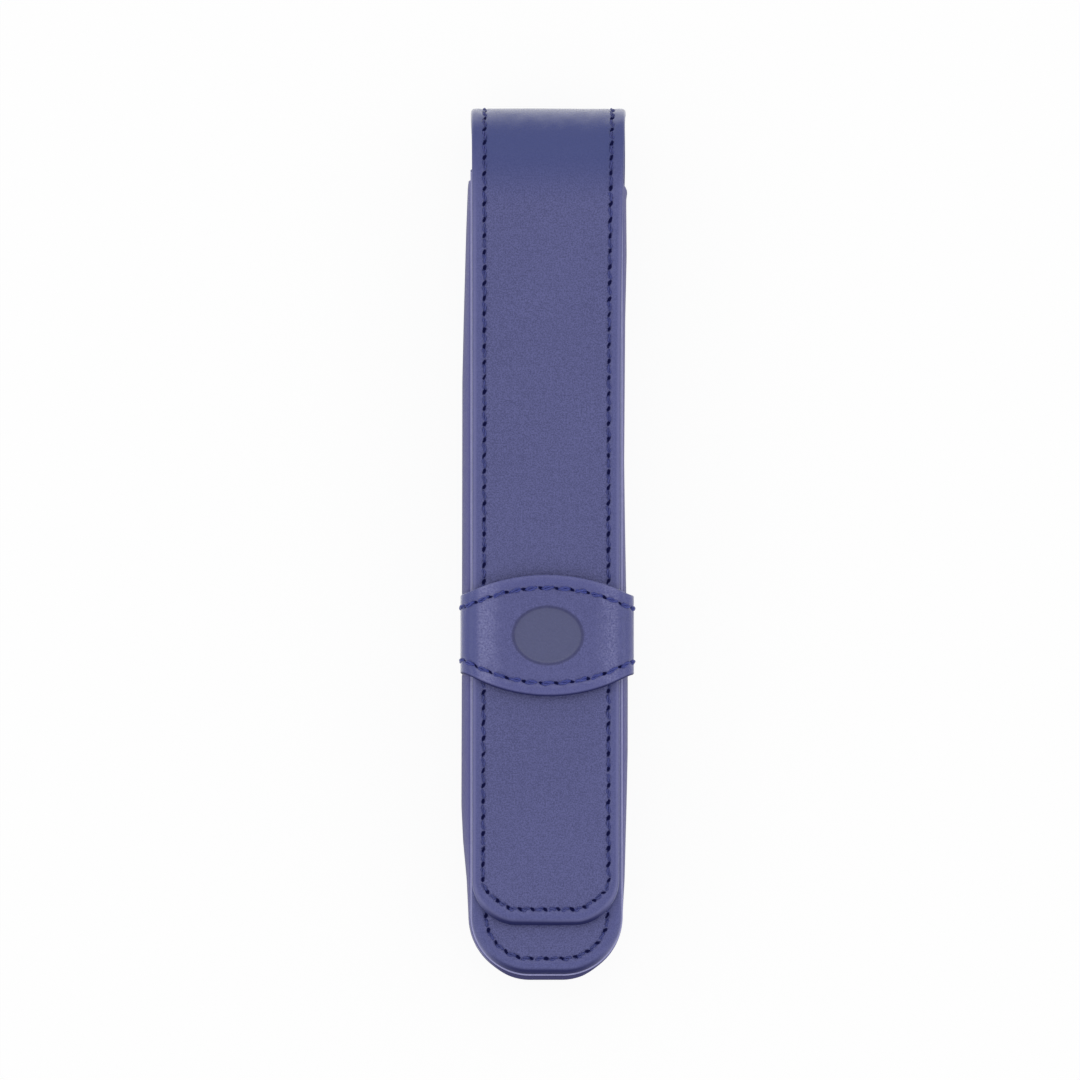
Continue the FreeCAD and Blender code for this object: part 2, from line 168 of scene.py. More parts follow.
class Levels:
    """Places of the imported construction, in millimetres."""

    def __init__(self) -> None:
        """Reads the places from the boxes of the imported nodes."""
        self.half_width = self.high("front_panel", X)
        self.crown = self.high("fold_leather", Y)
        self.foot = self.low("front_panel", Y)
        self.tip = self.low("tail_leather", Y)
        self.mouth = self.high("front_panel", Y)
        self.gusset_top = self.high("gusset", Y)
        self.leather = self.span("tail_leather", Z)
        self.board = self.span("back_board", Z)
        self.lining = self.span("tail_lining", Z)
        self.back_inside = self.low("gusset", Z)
        self.front_inside = self.high("gusset", Z)
        self.front_top = self.high("front_panel", Z)
        self.flap_top = self.high("tail_leather", Z)
        self.keeper_y = (self.low("keeper_band", Y) + self.high("keeper_band", Y)) / 2.0
        self.keeper_half = self.high("keeper_band", X)
        self.keeper_top = self.high("keeper_band", Z)
        self.keeper_low = self.low("keeper_band", Z)
        self.keeper_reach = self.span("keeper_band", Y)
        self.keeper_leather = self.keeper_top - self.high("keeper_lining", Z)
        self.keeper_lining = self.low("keeper_lining", Z) - self.keeper_low

    @staticmethod
    def low(node: str, axis: int) -> float:
        """Lowest coordinate of a node."""
        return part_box(node)[0][axis] / MM

    @staticmethod
    def high(node: str, axis: int) -> float:
        """Highest coordinate of a node."""
        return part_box(node)[1][axis] / MM

    def span(self, node: str, axis: int) -> float:
        """Size of a node along one axis."""
        return self.high(node, axis) - self.low(node, axis)


class Shell:
    """Points and faces of one closed skin, collected row by row."""

    def __init__(self, name: str) -> None:
        """Starts an empty skin.

        Args:
            name: Name of the piece.
        """
        self.name = name
        self.points: list[Array] = []
        self.count = 0
        self.faces: list[list[int]] = []
        self.skins: list[int] = []
        self.caps: list[int] = []

    def add(
        self, across: Array, down: Array, height: Array, along: Array, inset: Array, lean: Array
    ) -> Array:
        """Adds points of the flat pattern.

        Args:
            across: Places across the strip.
            down: Distances down the strip.
            height: Heights above the grain side.
            along: Distances along the nearest seam.
            inset: Distances from the nearest edge.
            lean: 1 or -1, the way that needle slits lean.

        Returns:
            The points' numbers, in the shape of the arguments.
        """
        fields = np.broadcast_arrays(across, down, height, along, inset, lean)
        stack = np.stack([np.ravel(values) for values in fields], axis=1).astype(float)
        numbers = np.arange(self.count, self.count + len(stack)).reshape(fields[0].shape)
        self.points.append(stack)
        self.count += len(stack)
        return numbers

    def face(self, numbers: Sequence[int], skin: Skin = Skin.GRAIN, cap: bool = False) -> None:
        """Adds one face.

        Args:
            numbers: Its points in order.
            skin: The finish that it wears.
            cap: Whether it closes an end, with sharp edges round it.
        """
        if cap:
            self.caps.append(len(self.faces))
        self.faces.append([int(number) for number in numbers])
        self.skins.append(skin.value)

    def net(self, numbers: Array, skin: Skin = Skin.GRAIN, wrap: bool = False) -> None:
        """Adds the four-sided faces of a net of points.

        Args:
            numbers: Rows of point numbers.
            skin: The finish that they wear.
            wrap: Whether each row closes on itself.
        """
        grid = np.concatenate([numbers, numbers[:, :1]], axis=1) if wrap else numbers
        corners = np.stack([grid[:-1, :-1], grid[:-1, 1:], grid[1:, 1:], grid[1:, :-1]], axis=-1)
        for quad in corners.reshape(-1, 4):
            self.face(quad, skin)

    def loft(self, rings: Array, skin: Skin = Skin.GRAIN) -> None:
        """Adds a closed skin through rings of points and caps its two ends.

        Args:
            rings: One row of point numbers for each ring.
            skin: The finish that it wears.
        """
        self.net(rings, skin, wrap=True)
        self.face(rings[0], skin, cap=True)
        self.face(rings[-1], skin, cap=True)

    def finish(self, place: Placer, finishes: Sequence[Material]) -> Piece:
        """Lays the pattern over the sleeve and makes the piece.

        Args:
            place: Turns places across, distances down and heights into points in space.
            finishes: One material for each skin.

        Returns:
            The new piece.
        """
        stack = np.vstack(self.points)
        spots = place(stack[:, 0], stack[:, 1], stack[:, 2]) * MM
        mesh = bpy.data.meshes.new(self.name)
        mesh.from_pydata(spots.tolist(), [], self.faces)
        mesh.polygons.foreach_set("material_index", self.skins)
        mesh.polygons.foreach_set("use_smooth", [True] * len(self.faces))
        for label, columns in (("pattern", stack[:, :3]), ("seam", stack[:, 3:])):
            values = mesh.attributes.new(label, "FLOAT_VECTOR", "POINT")
            values.data.foreach_set("vector", columns.astype(np.float32).ravel())
        for material in finishes:
            mesh.materials.append(material)
        work = bmesh.new()
        work.from_mesh(mesh)
        work.faces.ensure_lookup_table()
        bmesh.ops.recalc_face_normals(work, faces=work.faces[:])
        for number in self.caps:
            for edge in work.faces[number].edges:
                edge.smooth = False
        work.to_mesh(mesh)
        work.free()
        piece = bpy.data.objects.new(self.name, mesh)
        bpy.context.scene.collection.objects.link(piece)
        return piece


@dataclass(frozen=True)
class Seam:
    """A row of lockstitches and the marks that it leaves in the leather."""

    inset: float = 2.4
    pitch: float = 2.9
    channel_depth: float = 0.16
    channel_width: float = 0.5
    slit_reach: float = 0.62
    slit_breadth: float = 0.31
    slit_depth: float = 0.4
    slit_turn: float = math.radians(24.0)
    border_crown: float = 0.02
    pucker: float = 0.03

    def relief(self, stitches: Array, inset: Array, lean: float = 1.0) -> Array:
        """Height that the seam gives to flat leather.

        Args:
            stitches: Stitches sewn up to each place, with a needle slit at each whole number.
            inset: Distances from the edge.
            lean: 1 where slits lean outwards along the seam, -1 where they lean inwards.

        Returns:
            Heights, mostly below zero.
        """
        pitch = self.pitch
        off = inset - self.inset
        near = (stitches - np.round(stitches)) * pitch
        reach = near * math.cos(self.slit_turn) - off * math.sin(self.slit_turn) * lean
        breadth = near * math.sin(self.slit_turn) * lean + off * math.cos(self.slit_turn)
        slit = np.exp(-((reach / self.slit_reach) ** 2) - (breadth / self.slit_breadth) ** 2)
        channel = np.exp(-((off / self.channel_width) ** 2))
        border = np.sin(np.pi * np.clip(inset / self.inset, 0.0, 1.0)) ** 2
        swell = np.cos(2.0 * np.pi * near / pitch) * np.exp(-((off / (2.0 * self.channel_width)) ** 2))
        height = self.border_crown * border - self.channel_depth * channel
        return height - self.slit_depth * slit - self.pucker * swell


@dataclass(frozen=True)
class TongueOutline:
    """Flat outline of a panel: open at the top, straight sides and two rounded lower corners."""

    half_open: float
    half_foot: float
    length: float
    radius: float
    seam_inset: float
    bow: float = 0.0
    neck: float = 0.0
    neck_reach: float = 26.0
    open_gain: float = 0.0
    slim: float = 0.0
    foot_gain: float = 0.0
    corner_gain: float = 0.0
    gain_reach: float = 12.0
    gain_fade: float = 2.8

    @property
    def straight(self) -> float:
        """Length of a straight side."""
        return self.length - self.radius

    @property
    def seam_length(self) -> float:
        """Length of the seam line, from the open end round the foot and back."""
        corners = math.pi * (self.radius - self.seam_inset)
        return 2.0 * self.straight + corners + 2.0 * (self.half_foot - self.radius)

    def points(self, along: Array, inset: Array) -> tuple[Array, Array]:
        """Points on a line that runs inside the outline.

        Args:
            along: Distances along the seam line.
            inset: Distances from the outline, inwards, which drift as a hand-guided seam does.

        Returns:
            Places across and distances down.
        """
        turn = self.radius - self.seam_inset
        flat = self.half_foot - self.radius
        total = self.seam_length
        rightward = along > total / 2.0
        run = np.where(rightward, total - along, along)
        side = np.minimum(run, self.straight)
        angle = np.clip((run - self.straight) / turn, 0.0, QUARTER)
        foot = np.clip(run - self.straight - QUARTER * turn, 0.0, flat)
        taper = (self.half_open - self.neck - self.half_foot) * (1.0 - side / self.straight)
        half = self.half_foot + taper + self.neck * np.exp(-side / self.neck_reach)
        drift = self.open_gain * np.exp(-side / self.gain_reach) - self.slim * (side / self.straight) ** 2
        drift = drift + self.foot_gain * np.sin(angle) ** 2 + self.corner_gain * np.sin(2.0 * angle) ** 2
        fade = np.clip(1.0 - (inset - self.seam_inset) / self.gain_fade, 0.0, 1.0)
        inset = inset + drift * np.minimum(inset, self.seam_inset) * fade
        across = self.radius - half - (self.radius - inset) * np.cos(angle) + foot
        down = side + (self.radius - inset) * np.sin(angle)
        low = np.clip((down - self.straight) / self.radius, 0.0, 1.0) ** 2
        down = down + self.bow * low * (1.0 - (across / self.half_foot) ** 2)
        return np.where(rightward, -across, across), down


@dataclass(frozen=True)
class SectionRow:
    """One row of points along an outline: how far in, how high, and what it wears."""

    inset: float
    height: float
    under: bool = False
    skin: Skin = Skin.GRAIN


@dataclass(frozen=True)
class Edge:
    """How the edge of a panel is rounded and painted."""

    round_over: float = 0.6
    under_round: float = 0.4
    lip: float = 0.75
    lip_step: float = 0.06
    steps: int = 5
    bead: float = 0.0
    bead_height: float = 0.3
    bead_gap: float = 0.03
    seam_offsets: tuple[float, ...] = (2.0, 1.3, 0.85, 0.6, 0.4, 0.2, 0.0, -0.2, -0.4, -0.6)
    border_rows: int = 4
    border_end_share: float = 1.05

    def rows(self, seam: Seam, leather: float) -> list[SectionRow]:
        """Rows from the field over the painted edge to the under side.

        Args:
            seam: The seam inside the edge, which the rows follow closely.
            leather: Thickness of the leather behind the painted lip.

        Returns:
            The rows in order.
        """
        rows = [SectionRow(seam.inset + offset, 0.0) for offset in self.seam_offsets]
        border_end = self.border_end_share * self.round_over
        border = np.linspace(rows[-1].inset, border_end, self.border_rows + 1)[1:]
        rows.extend(SectionRow(float(inset), 0.0) for inset in border)
        angles = [QUARTER * step / self.steps for step in range(1, self.steps + 1)]
        for angle in angles:
            inset = self.round_over * (1.0 - math.sin(angle))
            rows.append(SectionRow(inset, -self.round_over * (1.0 - math.cos(angle))))
        if self.bead > 0.0:
            for step in range(self.steps + 1):
                turn = math.pi * step / self.steps
                fall = self.bead_gap + self.bead_height * (1.0 - math.cos(turn)) / 2.0
                level = -self.round_over - fall
                rows.append(SectionRow(-self.bead * math.sin(turn), level, skin=Skin.BEAD))
        for angle in reversed(angles):
            inset = self.under_round * (1.0 - math.sin(angle))
            height = self.under_round * (1.0 - math.cos(angle))
            rows.append(SectionRow(inset, height, under=True, skin=Skin.PAINT))
        rows.append(SectionRow(self.lip, 0.0, under=True, skin=Skin.PAINT))
        rows.append(SectionRow(self.lip + self.lip_step, -leather, skin=Skin.PAINT))
        rows.append(SectionRow(seam.inset, -leather))
        return rows


@dataclass(frozen=True)
class StitchRun:
    """A stretch of stitches along a seam."""

    locate: Placer
    inset: float
    starts: Array
    spans: Array
    lean: float = 1.0


@dataclass
class Tongue:
    """One layer with the outline of a panel, closed on all sides."""

    name: str
    outline: TongueOutline
    rows: Sequence[SectionRow]
    place: Placer
    finishes: Sequence[Material]
    thickness: Callable[[Array], Array]
    seam: Seam | None = None
    side_pitch: float = 2.9
    foot_pitch: float = 2.6
    points_per_stitch: int = 9
    coarse_step: int = 3
    fill_gap: float = 0.8
    columns: int = 18
    wave: float = 0.05
    side_roll: float = 0.05
    foot_roll: float = 0.15
    roll_width: float = 1.6
    under_roll: float = 0.3
    low_start_share: float = 1.3
    low_end: float = 2.0
    marked_depth: float = 0.8

    def __post_init__(self) -> None:
        """Shares out whole stitches to the two sides and to the foot."""
        straight, total = self.outline.straight, self.outline.seam_length
        side = round(straight / self.side_pitch)
        foot = round((total - 2.0 * straight) / self.foot_pitch)
        self.stitches = 2 * side + foot
        self.stitch_marks = [0, side, side + foot, self.stitches]
        self.seam_marks = [0.0, straight, total - straight, total]

    def along(self, stitches: Array) -> Array:
        """Distances along the seam of numbers of stitches."""
        return np.interp(stitches, self.stitch_marks, self.seam_marks)

    def height(self, row: SectionRow, across: Array, down: Array, stitches: Array, lean: Array) -> Array:
        """Heights of one row of points.

        Args:
            row: The row.
            across: Places across.
            down: Distances down.
            stitches: Stitches sewn up to each place.
            lean: How far the nearest needle slit leans.

        Returns:
            Heights above the flat grain side.
        """
        wave = self.wave * unevenness(across, down)
        inset = np.full_like(down, row.inset)
        length, low_start = self.outline.length, self.low_start_share * self.outline.radius
        low = ease(down, length - low_start, length - self.low_end)
        depth = self.side_roll + (self.foot_roll - self.side_roll) * low
        roll = depth * np.clip(1.0 - inset / self.roll_width, 0.0, 1.0) ** 2
        if row.under:
            return row.height - self.thickness(down) + wave - roll * self.under_roll
        marked = self.seam is not None and row.skin is Skin.GRAIN and row.height > -self.marked_depth
        marks = self.seam.relief(stitches, inset, lean) if marked else 0.0
        return row.height + wave - roll + marks

    def build(self) -> Piece:
        """Makes the piece.

        Returns:
            The closed layer.
        """
        shell = Shell(self.name)
        stitches = np.linspace(0.0, self.stitches, self.stitches * self.points_per_stitch + 1)
        along = self.along(stitches)
        sewn, lean = hand_sewn(stitches)
        numbers = []
        for row in self.rows:
            across, down = self.outline.points(along, row.inset)
            height = self.height(row, across, down, sewn, lean)
            numbers.append(shell.add(across, down, height, sewn, row.inset, lean))
        for row, before, after in zip(self.rows[1:], numbers, numbers[1:]):
            shell.net(np.array([before, after]), row.skin)
        upper = self.fill(shell, along, self.rows[0], numbers[0])
        lower = self.fill(shell, along, self.rows[-1], numbers[-1])
        right = [row[-1] for row in numbers]
        left = [row[0] for row in reversed(numbers)]
        shell.face([*upper, *right, *lower[::-1], *left], cap=True)
        return shell.finish(self.place, self.finishes)

    def fill(self, shell: Shell, along: Array, row: SectionRow, rim: Array) -> Array:
        """Fills the space inside a row with a coarser net.

        Args:
            shell: The skin to add to.
            along: Distances of the rim's points along the seam.
            row: The rim's row.
            rim: The rim's point numbers.

        Returns:
            Numbers of the points along the net's open end, from left to right.
        """
        coarse = along[:: self.coarse_step]
        sides = (len(coarse) - 1 - self.columns) // 2
        columns = len(coarse) - 1 - 2 * sides
        border = np.stack(self.outline.points(coarse, row.inset + self.fill_gap), axis=1)
        left = border[: sides + 1]
        right = border[::-1][: sides + 1]
        foot = border[sides : sides + columns + 1]
        share = np.linspace(0.0, 1.0, columns + 1)[None, :, None]
        top = mix(border[0], border[-1], share[0])
        step = np.linspace(0.0, 1.0, sides + 1)[:, None, None]
        spread = mix(left[:, None], right[:, None], share)
        fall = mix(top, foot, step)
        above = mix(top[0], top[-1], share)
        below = mix(foot[0], foot[-1], share)
        places = spread + fall - mix(above, below, step)
        across, down = places[..., 0], places[..., 1]
        inner = SectionRow(row.inset + self.fill_gap, row.height, row.under)
        height = self.height(inner, across, down, np.zeros_like(down), np.ones_like(down))
        net = shell.add(across, down, height, 0.0, inner.inset, 1.0)
        shell.net(net)
        edge = np.concatenate([net[:, 0], net[-1, 1:], net[-2::-1, -1]])
        for index in range(len(coarse) - 1):
            span = rim[index * self.coarse_step : (index + 1) * self.coarse_step + 1]
            shell.face([*span, edge[index + 1], edge[index]])
        return net[0]

    def run(self, face: Face = Face.GRAIN, reach: float = math.inf) -> StitchRun:
        """Stitches along the seam, on one side of the layer.

        Args:
            face: The side.
            reach: How far from its two open ends the seam shows.

        Returns:
            The run of stitches.
        """

        def locate(along: Array, inset: Array, height: Array) -> Array:
            """Points in space of the thread.

            Args:
                along: Distances along the seam.
                inset: Distances from the edge.
                height: Heights above the side that is sewn.

            Returns:
                Rows of X, Y and Z.
            """
            across, down = self.outline.points(along, inset)
            base = self.wave * unevenness(across, down)
            if face is Face.LINING:
                base = base - self.thickness(down)
            return self.place(across, down, base + face.value * height)

        places = self.along(np.arange(self.stitches + 1))
        starts, spans = places[:-1], np.diff(places)
        shown = (starts < reach) | (starts > self.outline.seam_length - reach)
        return StitchRun(locate, self.seam.inset, starts[shown], spans[shown], lean=face.value)


def under_layer(
    name: str,
    outline: TongueOutline,
    rows: Sequence[SectionRow],
    place: Placer,
    finish: Material,
    thickness: float,
    coarse_step: int = 2,
) -> Piece:
    """Makes a plain layer that lies under the leather.

    Args:
        name: Name of the piece.
        outline: Outline of the panel that it lies in.
        rows: Its rows.
        place: Lays its upper face over the sleeve.
        finish: Its material.
        thickness: Its thickness.
        coarse_step: How many points of its rim one face of its field spans.

    Returns:
        The new piece.
    """
    layer = Tongue(
        name=name,
        outline=outline,
        rows=rows,
        place=place,
        finishes=[finish],
        thickness=lambda down: np.full_like(down, thickness),
        points_per_stitch=2 * coarse_step,
        coarse_step=coarse_step,
        side_roll=0.0,
        foot_roll=0.0,
    )
    return layer.build()


@dataclass(frozen=True)
class Thread:
    """Two-ply sewing thread, which lies along the leather and dives into a slit at each end of a stitch."""

    ply_radius: float = 0.21
    ply_offset: float = 0.21
    turns: float = 0.6
    crest: float = -0.15
    dive: float = 0.5
    stack: float = 0.6
    slant: float = 0.14
    twist_drift: float = 1.7
    twist_rate: float = 2.3
    arch_power: float = 5.0
    end_share: float = 0.65
    visible_share: float = 0.68
    rings: int = 11
    sides: int = 7

    def build(self, name: str, runs: Sequence[StitchRun], finish: Material) -> Piece:
        """Makes all the stitches of some runs as one piece.

        Args:
            name: Name of the piece.
            runs: The stretches of stitches.
            finish: The thread's material.

        Returns:
            The piece, a closed skin for each ply of each stitch.
        """
        shell = Shell(name)
        placed = np.vstack([self.sew(shell, run) for run in runs])
        return shell.finish(lambda across, down, height: placed, [finish])

    def sew(self, shell: Shell, run: StitchRun) -> Array:
        """Adds the stitches of one run.

        Args:
            shell: The skin to add to.
            run: The stretch of stitches.

        Returns:
            The points in space, in the order of their numbers.
        """
        share = np.linspace(0.0, 1.0, self.rings)[None, None, :, None]
        around = np.linspace(0.0, 2.0 * np.pi, self.sides, endpoint=False)[None, None, None, :]
        start = run.starts[:, None, None, None]
        span = run.spans[:, None, None, None]
        ply = np.array([0.0, np.pi])[None, :, None, None]
        phase = self.twist_drift * np.sin(self.twist_rate * start)
        turn = 2.0 * np.pi * self.turns * share + ply + phase
        arch = 1.0 - np.abs(2.0 * share - 1.0) ** self.arch_power
        slender = self.end_share + (1.0 - self.end_share) * arch
        offset = self.ply_offset * slender
        radius = self.ply_radius * slender
        along = start + span * (0.5 + self.visible_share * (share - 0.5))
        swing = self.slant * run.lean * (2.0 * share - 1.0)
        inset = run.inset + swing + offset * np.cos(turn) + radius * np.cos(around)
        height = self.crest - self.dive * (1.0 - arch)
        height = height + self.stack * offset * np.sin(turn) + radius * np.sin(around)
        along, inset, height = np.broadcast_arrays(along, inset, height)
        numbers = shell.add(along - start, around, ply, along, inset, 1.0)
        for stitch in numbers.reshape(-1, self.rings, self.sides):
            shell.loft(stitch)
        return run.locate(np.ravel(along), np.ravel(inset), np.ravel(height))


def distances(line: Array) -> Array:
    """Distances of a line's points from its first."""
    steps = np.linalg.norm(np.diff(line, axis=0), axis=1)
    return np.concatenate([[0.0], np.cumsum(steps)])


class Course:
    """A line that leather follows, seen from its side."""

    def __init__(self, line: Array, run: Array, way: float) -> None:
        """Works out which way is outwards all along the line.

        Args:
            line: Its points.
            run: Their distances along it.
            way: 1 where outwards is to the left of the line, -1 where it is to the right.
        """
        self.line = line
        self.run = run
        tangent = np.gradient(line, run, axis=0)
        tangent /= np.linalg.norm(tangent, axis=1, keepdims=True)
        self.normal = way * np.stack([-tangent[:, 1], tangent[:, 0]], axis=1)

    def at(self, distance: Array, height: Array) -> tuple[Array, Array]:
        """Points beside the line.

        Args:
            distance: Distances along it.
            height: Distances outwards from it.

        Returns:
            Their first and second coordinates.
        """
        spot = [np.interp(distance, self.run, column) for column in self.line.T]
        out = [np.interp(distance, self.run, column) for column in self.normal.T]
        return spot[0] + out[0] * height, spot[1] + out[1] * height


class StrapProfile(Course):
    """Side view of the strap's grain side: up the back, over the fold and down the flap.

    Distances run from the crown, negative down the back and positive down the flap.
    """

    SAMPLES = 1500

    def __init__(
        self, levels: Levels, shoulder: float = 10.2, softness: float = 2.1, overhang: float = 0.3
    ) -> None:
        """Works out the line.

        Args:
            levels: Places of the construction.
            shoulder: How far below the crown the flap begins to slope towards the fold.
            softness: Power of the slope; more makes a flatter flap and a tighter crown.
            overhang: How far the flap has stretched past its cut length.
        """
        self.radius = levels.flap_top / 2.0
        self.shoulder = shoulder
        self.softness = softness
        self.shoulder_start = levels.crown - shoulder
        turn = np.linspace(0.0, QUARTER, self.SAMPLES)
        rise = np.cos(turn)
        fold_y = levels.crown - self.radius
        swing = self.radius * np.sin(turn)
        back_arc = np.stack([fold_y + self.radius * rise, self.radius - swing], axis=1)
        slope = self.shoulder_start + shoulder * rise ** (2.0 / softness)
        front_arc = np.stack([slope, self.radius + swing], axis=1)
        front_arc[-1, 0] = self.shoulder_start
        back = np.vstack([back_arc, self.straight(fold_y, levels.foot, 0.0)])
        flap = self.straight(self.shoulder_start, levels.tip - overhang, levels.flap_top)
        line = np.vstack([back[::-1], front_arc[1:], flap])
        run = distances(line)
        super().__init__(line, run - run[len(back) - 1], way=-1.0)

    def straight(self, start: float, stop: float, level: float) -> Array:
        """Points along a flat stretch at one level, without its first."""
        places = np.linspace(start, stop, self.SAMPLES)[1:]
        return np.stack([places, np.full_like(places, level)], axis=1)

    @property
    def back_length(self) -> float:
        """Length from the crown down the back to the foot."""
        return float(-self.run[0])

    @property
    def front_length(self) -> float:
        """Length from the crown down the flap to its tip."""
        return float(self.run[-1])

    def place(self, across: Array, distance: Array, height: Array) -> Array:
        """Points in space by distances from the crown."""
        up, level = self.at(distance, height)
        return as_points(across, up, level)

    def drop(self, along: Array) -> Array:
        """How much lower the flap lies, at places up the sleeve, than its flat part."""
        share = np.clip((along - self.shoulder_start) / self.shoulder, 0.0, 1.0)
        return self.radius * (1.0 - np.sqrt(1.0 - share**self.softness))


@dataclass(frozen=True)
class Noise:
    """A cloudy noise: cells to a millimetre, finer octaves and their weight, and how far it sways a value."""

    scale: float
    detail: float = 2.0
    roughness: float = 0.5
    sway: float = 1.0


class Link:
    """A shader socket that takes part in Python expressions."""

    def __init__(self, canvas: "Canvas", socket: bpy.types.NodeSocket) -> None:
        """Wraps an output socket of a material's tree."""
        self.canvas = canvas
        self.socket = socket

    def maths(self, operation: str, first: Any, second: Any = 0.0) -> "Link":
        """One Math node on two values or links."""
        return self.canvas.node("ShaderNodeMath", {"operation": operation}, {0: first, 1: second})

    def __add__(self, other: Any) -> "Link":
        """Sum."""
        return self.maths("ADD", self, other)

    def __radd__(self, other: Any) -> "Link":
        """Sum with a number on the left."""
        return self.maths("ADD", other, self)

    def __sub__(self, other: Any) -> "Link":
        """Difference."""
        return self.maths("SUBTRACT", self, other)

    def __rsub__(self, other: Any) -> "Link":
        """Difference from a number on the left."""
        return self.maths("SUBTRACT", other, self)

    def __mul__(self, other: Any) -> "Link":
        """Product."""
        return self.maths("MULTIPLY", self, other)

    def __rmul__(self, other: Any) -> "Link":
        """Product with a number on the left."""
        return self.maths("MULTIPLY", other, self)

    def __truediv__(self, other: Any) -> "Link":
        """Quotient."""
        return self.maths("DIVIDE", self, other)

    def __rtruediv__(self, other: Any) -> "Link":
        """Quotient of a number on the left."""
        return self.maths("DIVIDE", other, self)

    def part(self, axis: str) -> "Link":
        """One part of a vector."""
        return self.canvas.node("ShaderNodeSeparateXYZ", {}, {0: self}, axis)

    def noise(self, noise: Noise) -> "Link":
        """Cloudy noise read at a place, with values about 0.5."""
        sizes = {"Scale": noise.scale, "Detail": noise.detail, "Roughness": noise.roughness}
        return self.canvas.node("ShaderNodeTexNoise", {}, {"Vector": self, **sizes})

    def sway(self, noise: Noise) -> "Link":
        """Cloudy noise about zero, as far to each side as it sways."""
        return (self.noise(noise) - 0.5) * noise.sway

    def cells(self, scale: float, smoothness: float = 0.6) -> "Link":
        """Distances from the middles of rounded cells, like the pebbles of a grain."""
        inputs = {"Vector": self, "Scale": scale, "Smoothness": smoothness}
        return self.canvas.node("ShaderNodeTexVoronoi", {"feature": "SMOOTH_F1"}, inputs, "Distance")

    def toward(self, colour: Colour, share: "Link") -> "Link":
        """This colour, mixed with a share of another."""
        return self.canvas.blend(share, self, colour)

    def rounded(self) -> "Link":
        """Nearest whole number."""
        return self.maths("ROUND", self)

    def sine(self) -> "Link":
        """Sine of an angle."""
        return self.maths("SINE", self)

    def size(self) -> "Link":
        """Value without its sign."""
        return self.maths("ABSOLUTE", self)

    def eased(self, low: float, high: float) -> "Link":
        """Smooth step: 0 before low, 1 after high."""
        inputs = {"Value": self, "From Min": low, "From Max": high}
        return self.canvas.node("ShaderNodeMapRange", {"interpolation_type": "SMOOTHSTEP"}, inputs)


class Canvas:
    """One material's node tree."""

    MIX_COLOURS = (6, 7)
    MIX_RESULT = 2

    def __init__(self, name: str, tree: bpy.types.NodeTree | None = None) -> None:
        """Starts an empty tree.

        Args:
            name: Name of the material.
            tree: A tree to fill instead of a new material's.
        """
        self.material = None
        if tree is None:
            self.material = bpy.data.materials.new(name)
            self.material.use_nodes = True
            tree = self.material.node_tree
        self.tree = tree
        self.tree.nodes.clear()

    def node(self, kind: str, settings: dict[str, Any], inputs: dict[Any, Any], output: Any = 0) -> Link:
        """Adds one node.

        Args:
            kind: The node's type.
            settings: Its own settings, which are set first.
            inputs: Values or links of its sockets, by name or number.
            output: Name or number of the wanted output.

        Returns:
            That output.
        """
        made = self.tree.nodes.new(kind)
        for name, value in settings.items():
            setattr(made, name, value)
        for name, value in inputs.items():
            if isinstance(value, Link):
                self.tree.links.new(value.socket, made.inputs[name])
            else:
                made.inputs[name].default_value = value
        return Link(self, made.outputs[output]) if made.outputs else None

    def attribute(self, name: str) -> Link:
        """A vector kept on the mesh's points."""
        return self.node("ShaderNodeAttribute", {"attribute_name": name}, {}, "Vector")

    def blend(self, share: Link, first: Any, second: Any) -> Link:
        """Mix of two colours.

        Args:
            share: 0 for the first, 1 for the second.
            first: A colour or a link.
            second: A colour or a link.

        Returns:
            The mixed colour.
        """
        colours = [value if isinstance(value, Link) else (*value, 1.0) for value in (first, second)]
        settings = {"data_type": "RGBA", "clamp_factor": True}
        inputs = {0: share, **dict(zip(self.MIX_COLOURS, colours))}
        return self.node("ShaderNodeMix", settings, inputs, self.MIX_RESULT)

    def bump(self, height: Link, strength: float, distance: float) -> Link:
        """Normal of a surface with bumps of heights from 0 to 1, whose distance is in millimetres."""
        inputs = {"Strength": strength, "Distance": distance * MM, "Height": height}
        return self.node("ShaderNodeBump", {}, inputs, "Normal")

    def shader(self, **inputs: Any) -> Link:
        """One Principled shader, its sockets named with _ for a space."""
        sockets = {name.replace("_", " "): value for name, value in inputs.items()}
        return self.node("ShaderNodeBsdfPrincipled", {}, sockets)

    def mixed(self, share: Link, first: Link, second: Link) -> Link:
        """Mix of two shaders: share 0 for the first, 1 for the second."""
        return self.node("ShaderNodeMixShader", {}, {0: share, 1: first, 2: second})

    def surface(self, shader: Link) -> Material:
        """Ends the material in a shader and returns it."""
        self.node("ShaderNodeOutputMaterial", {}, {0: shader})
        return self.material


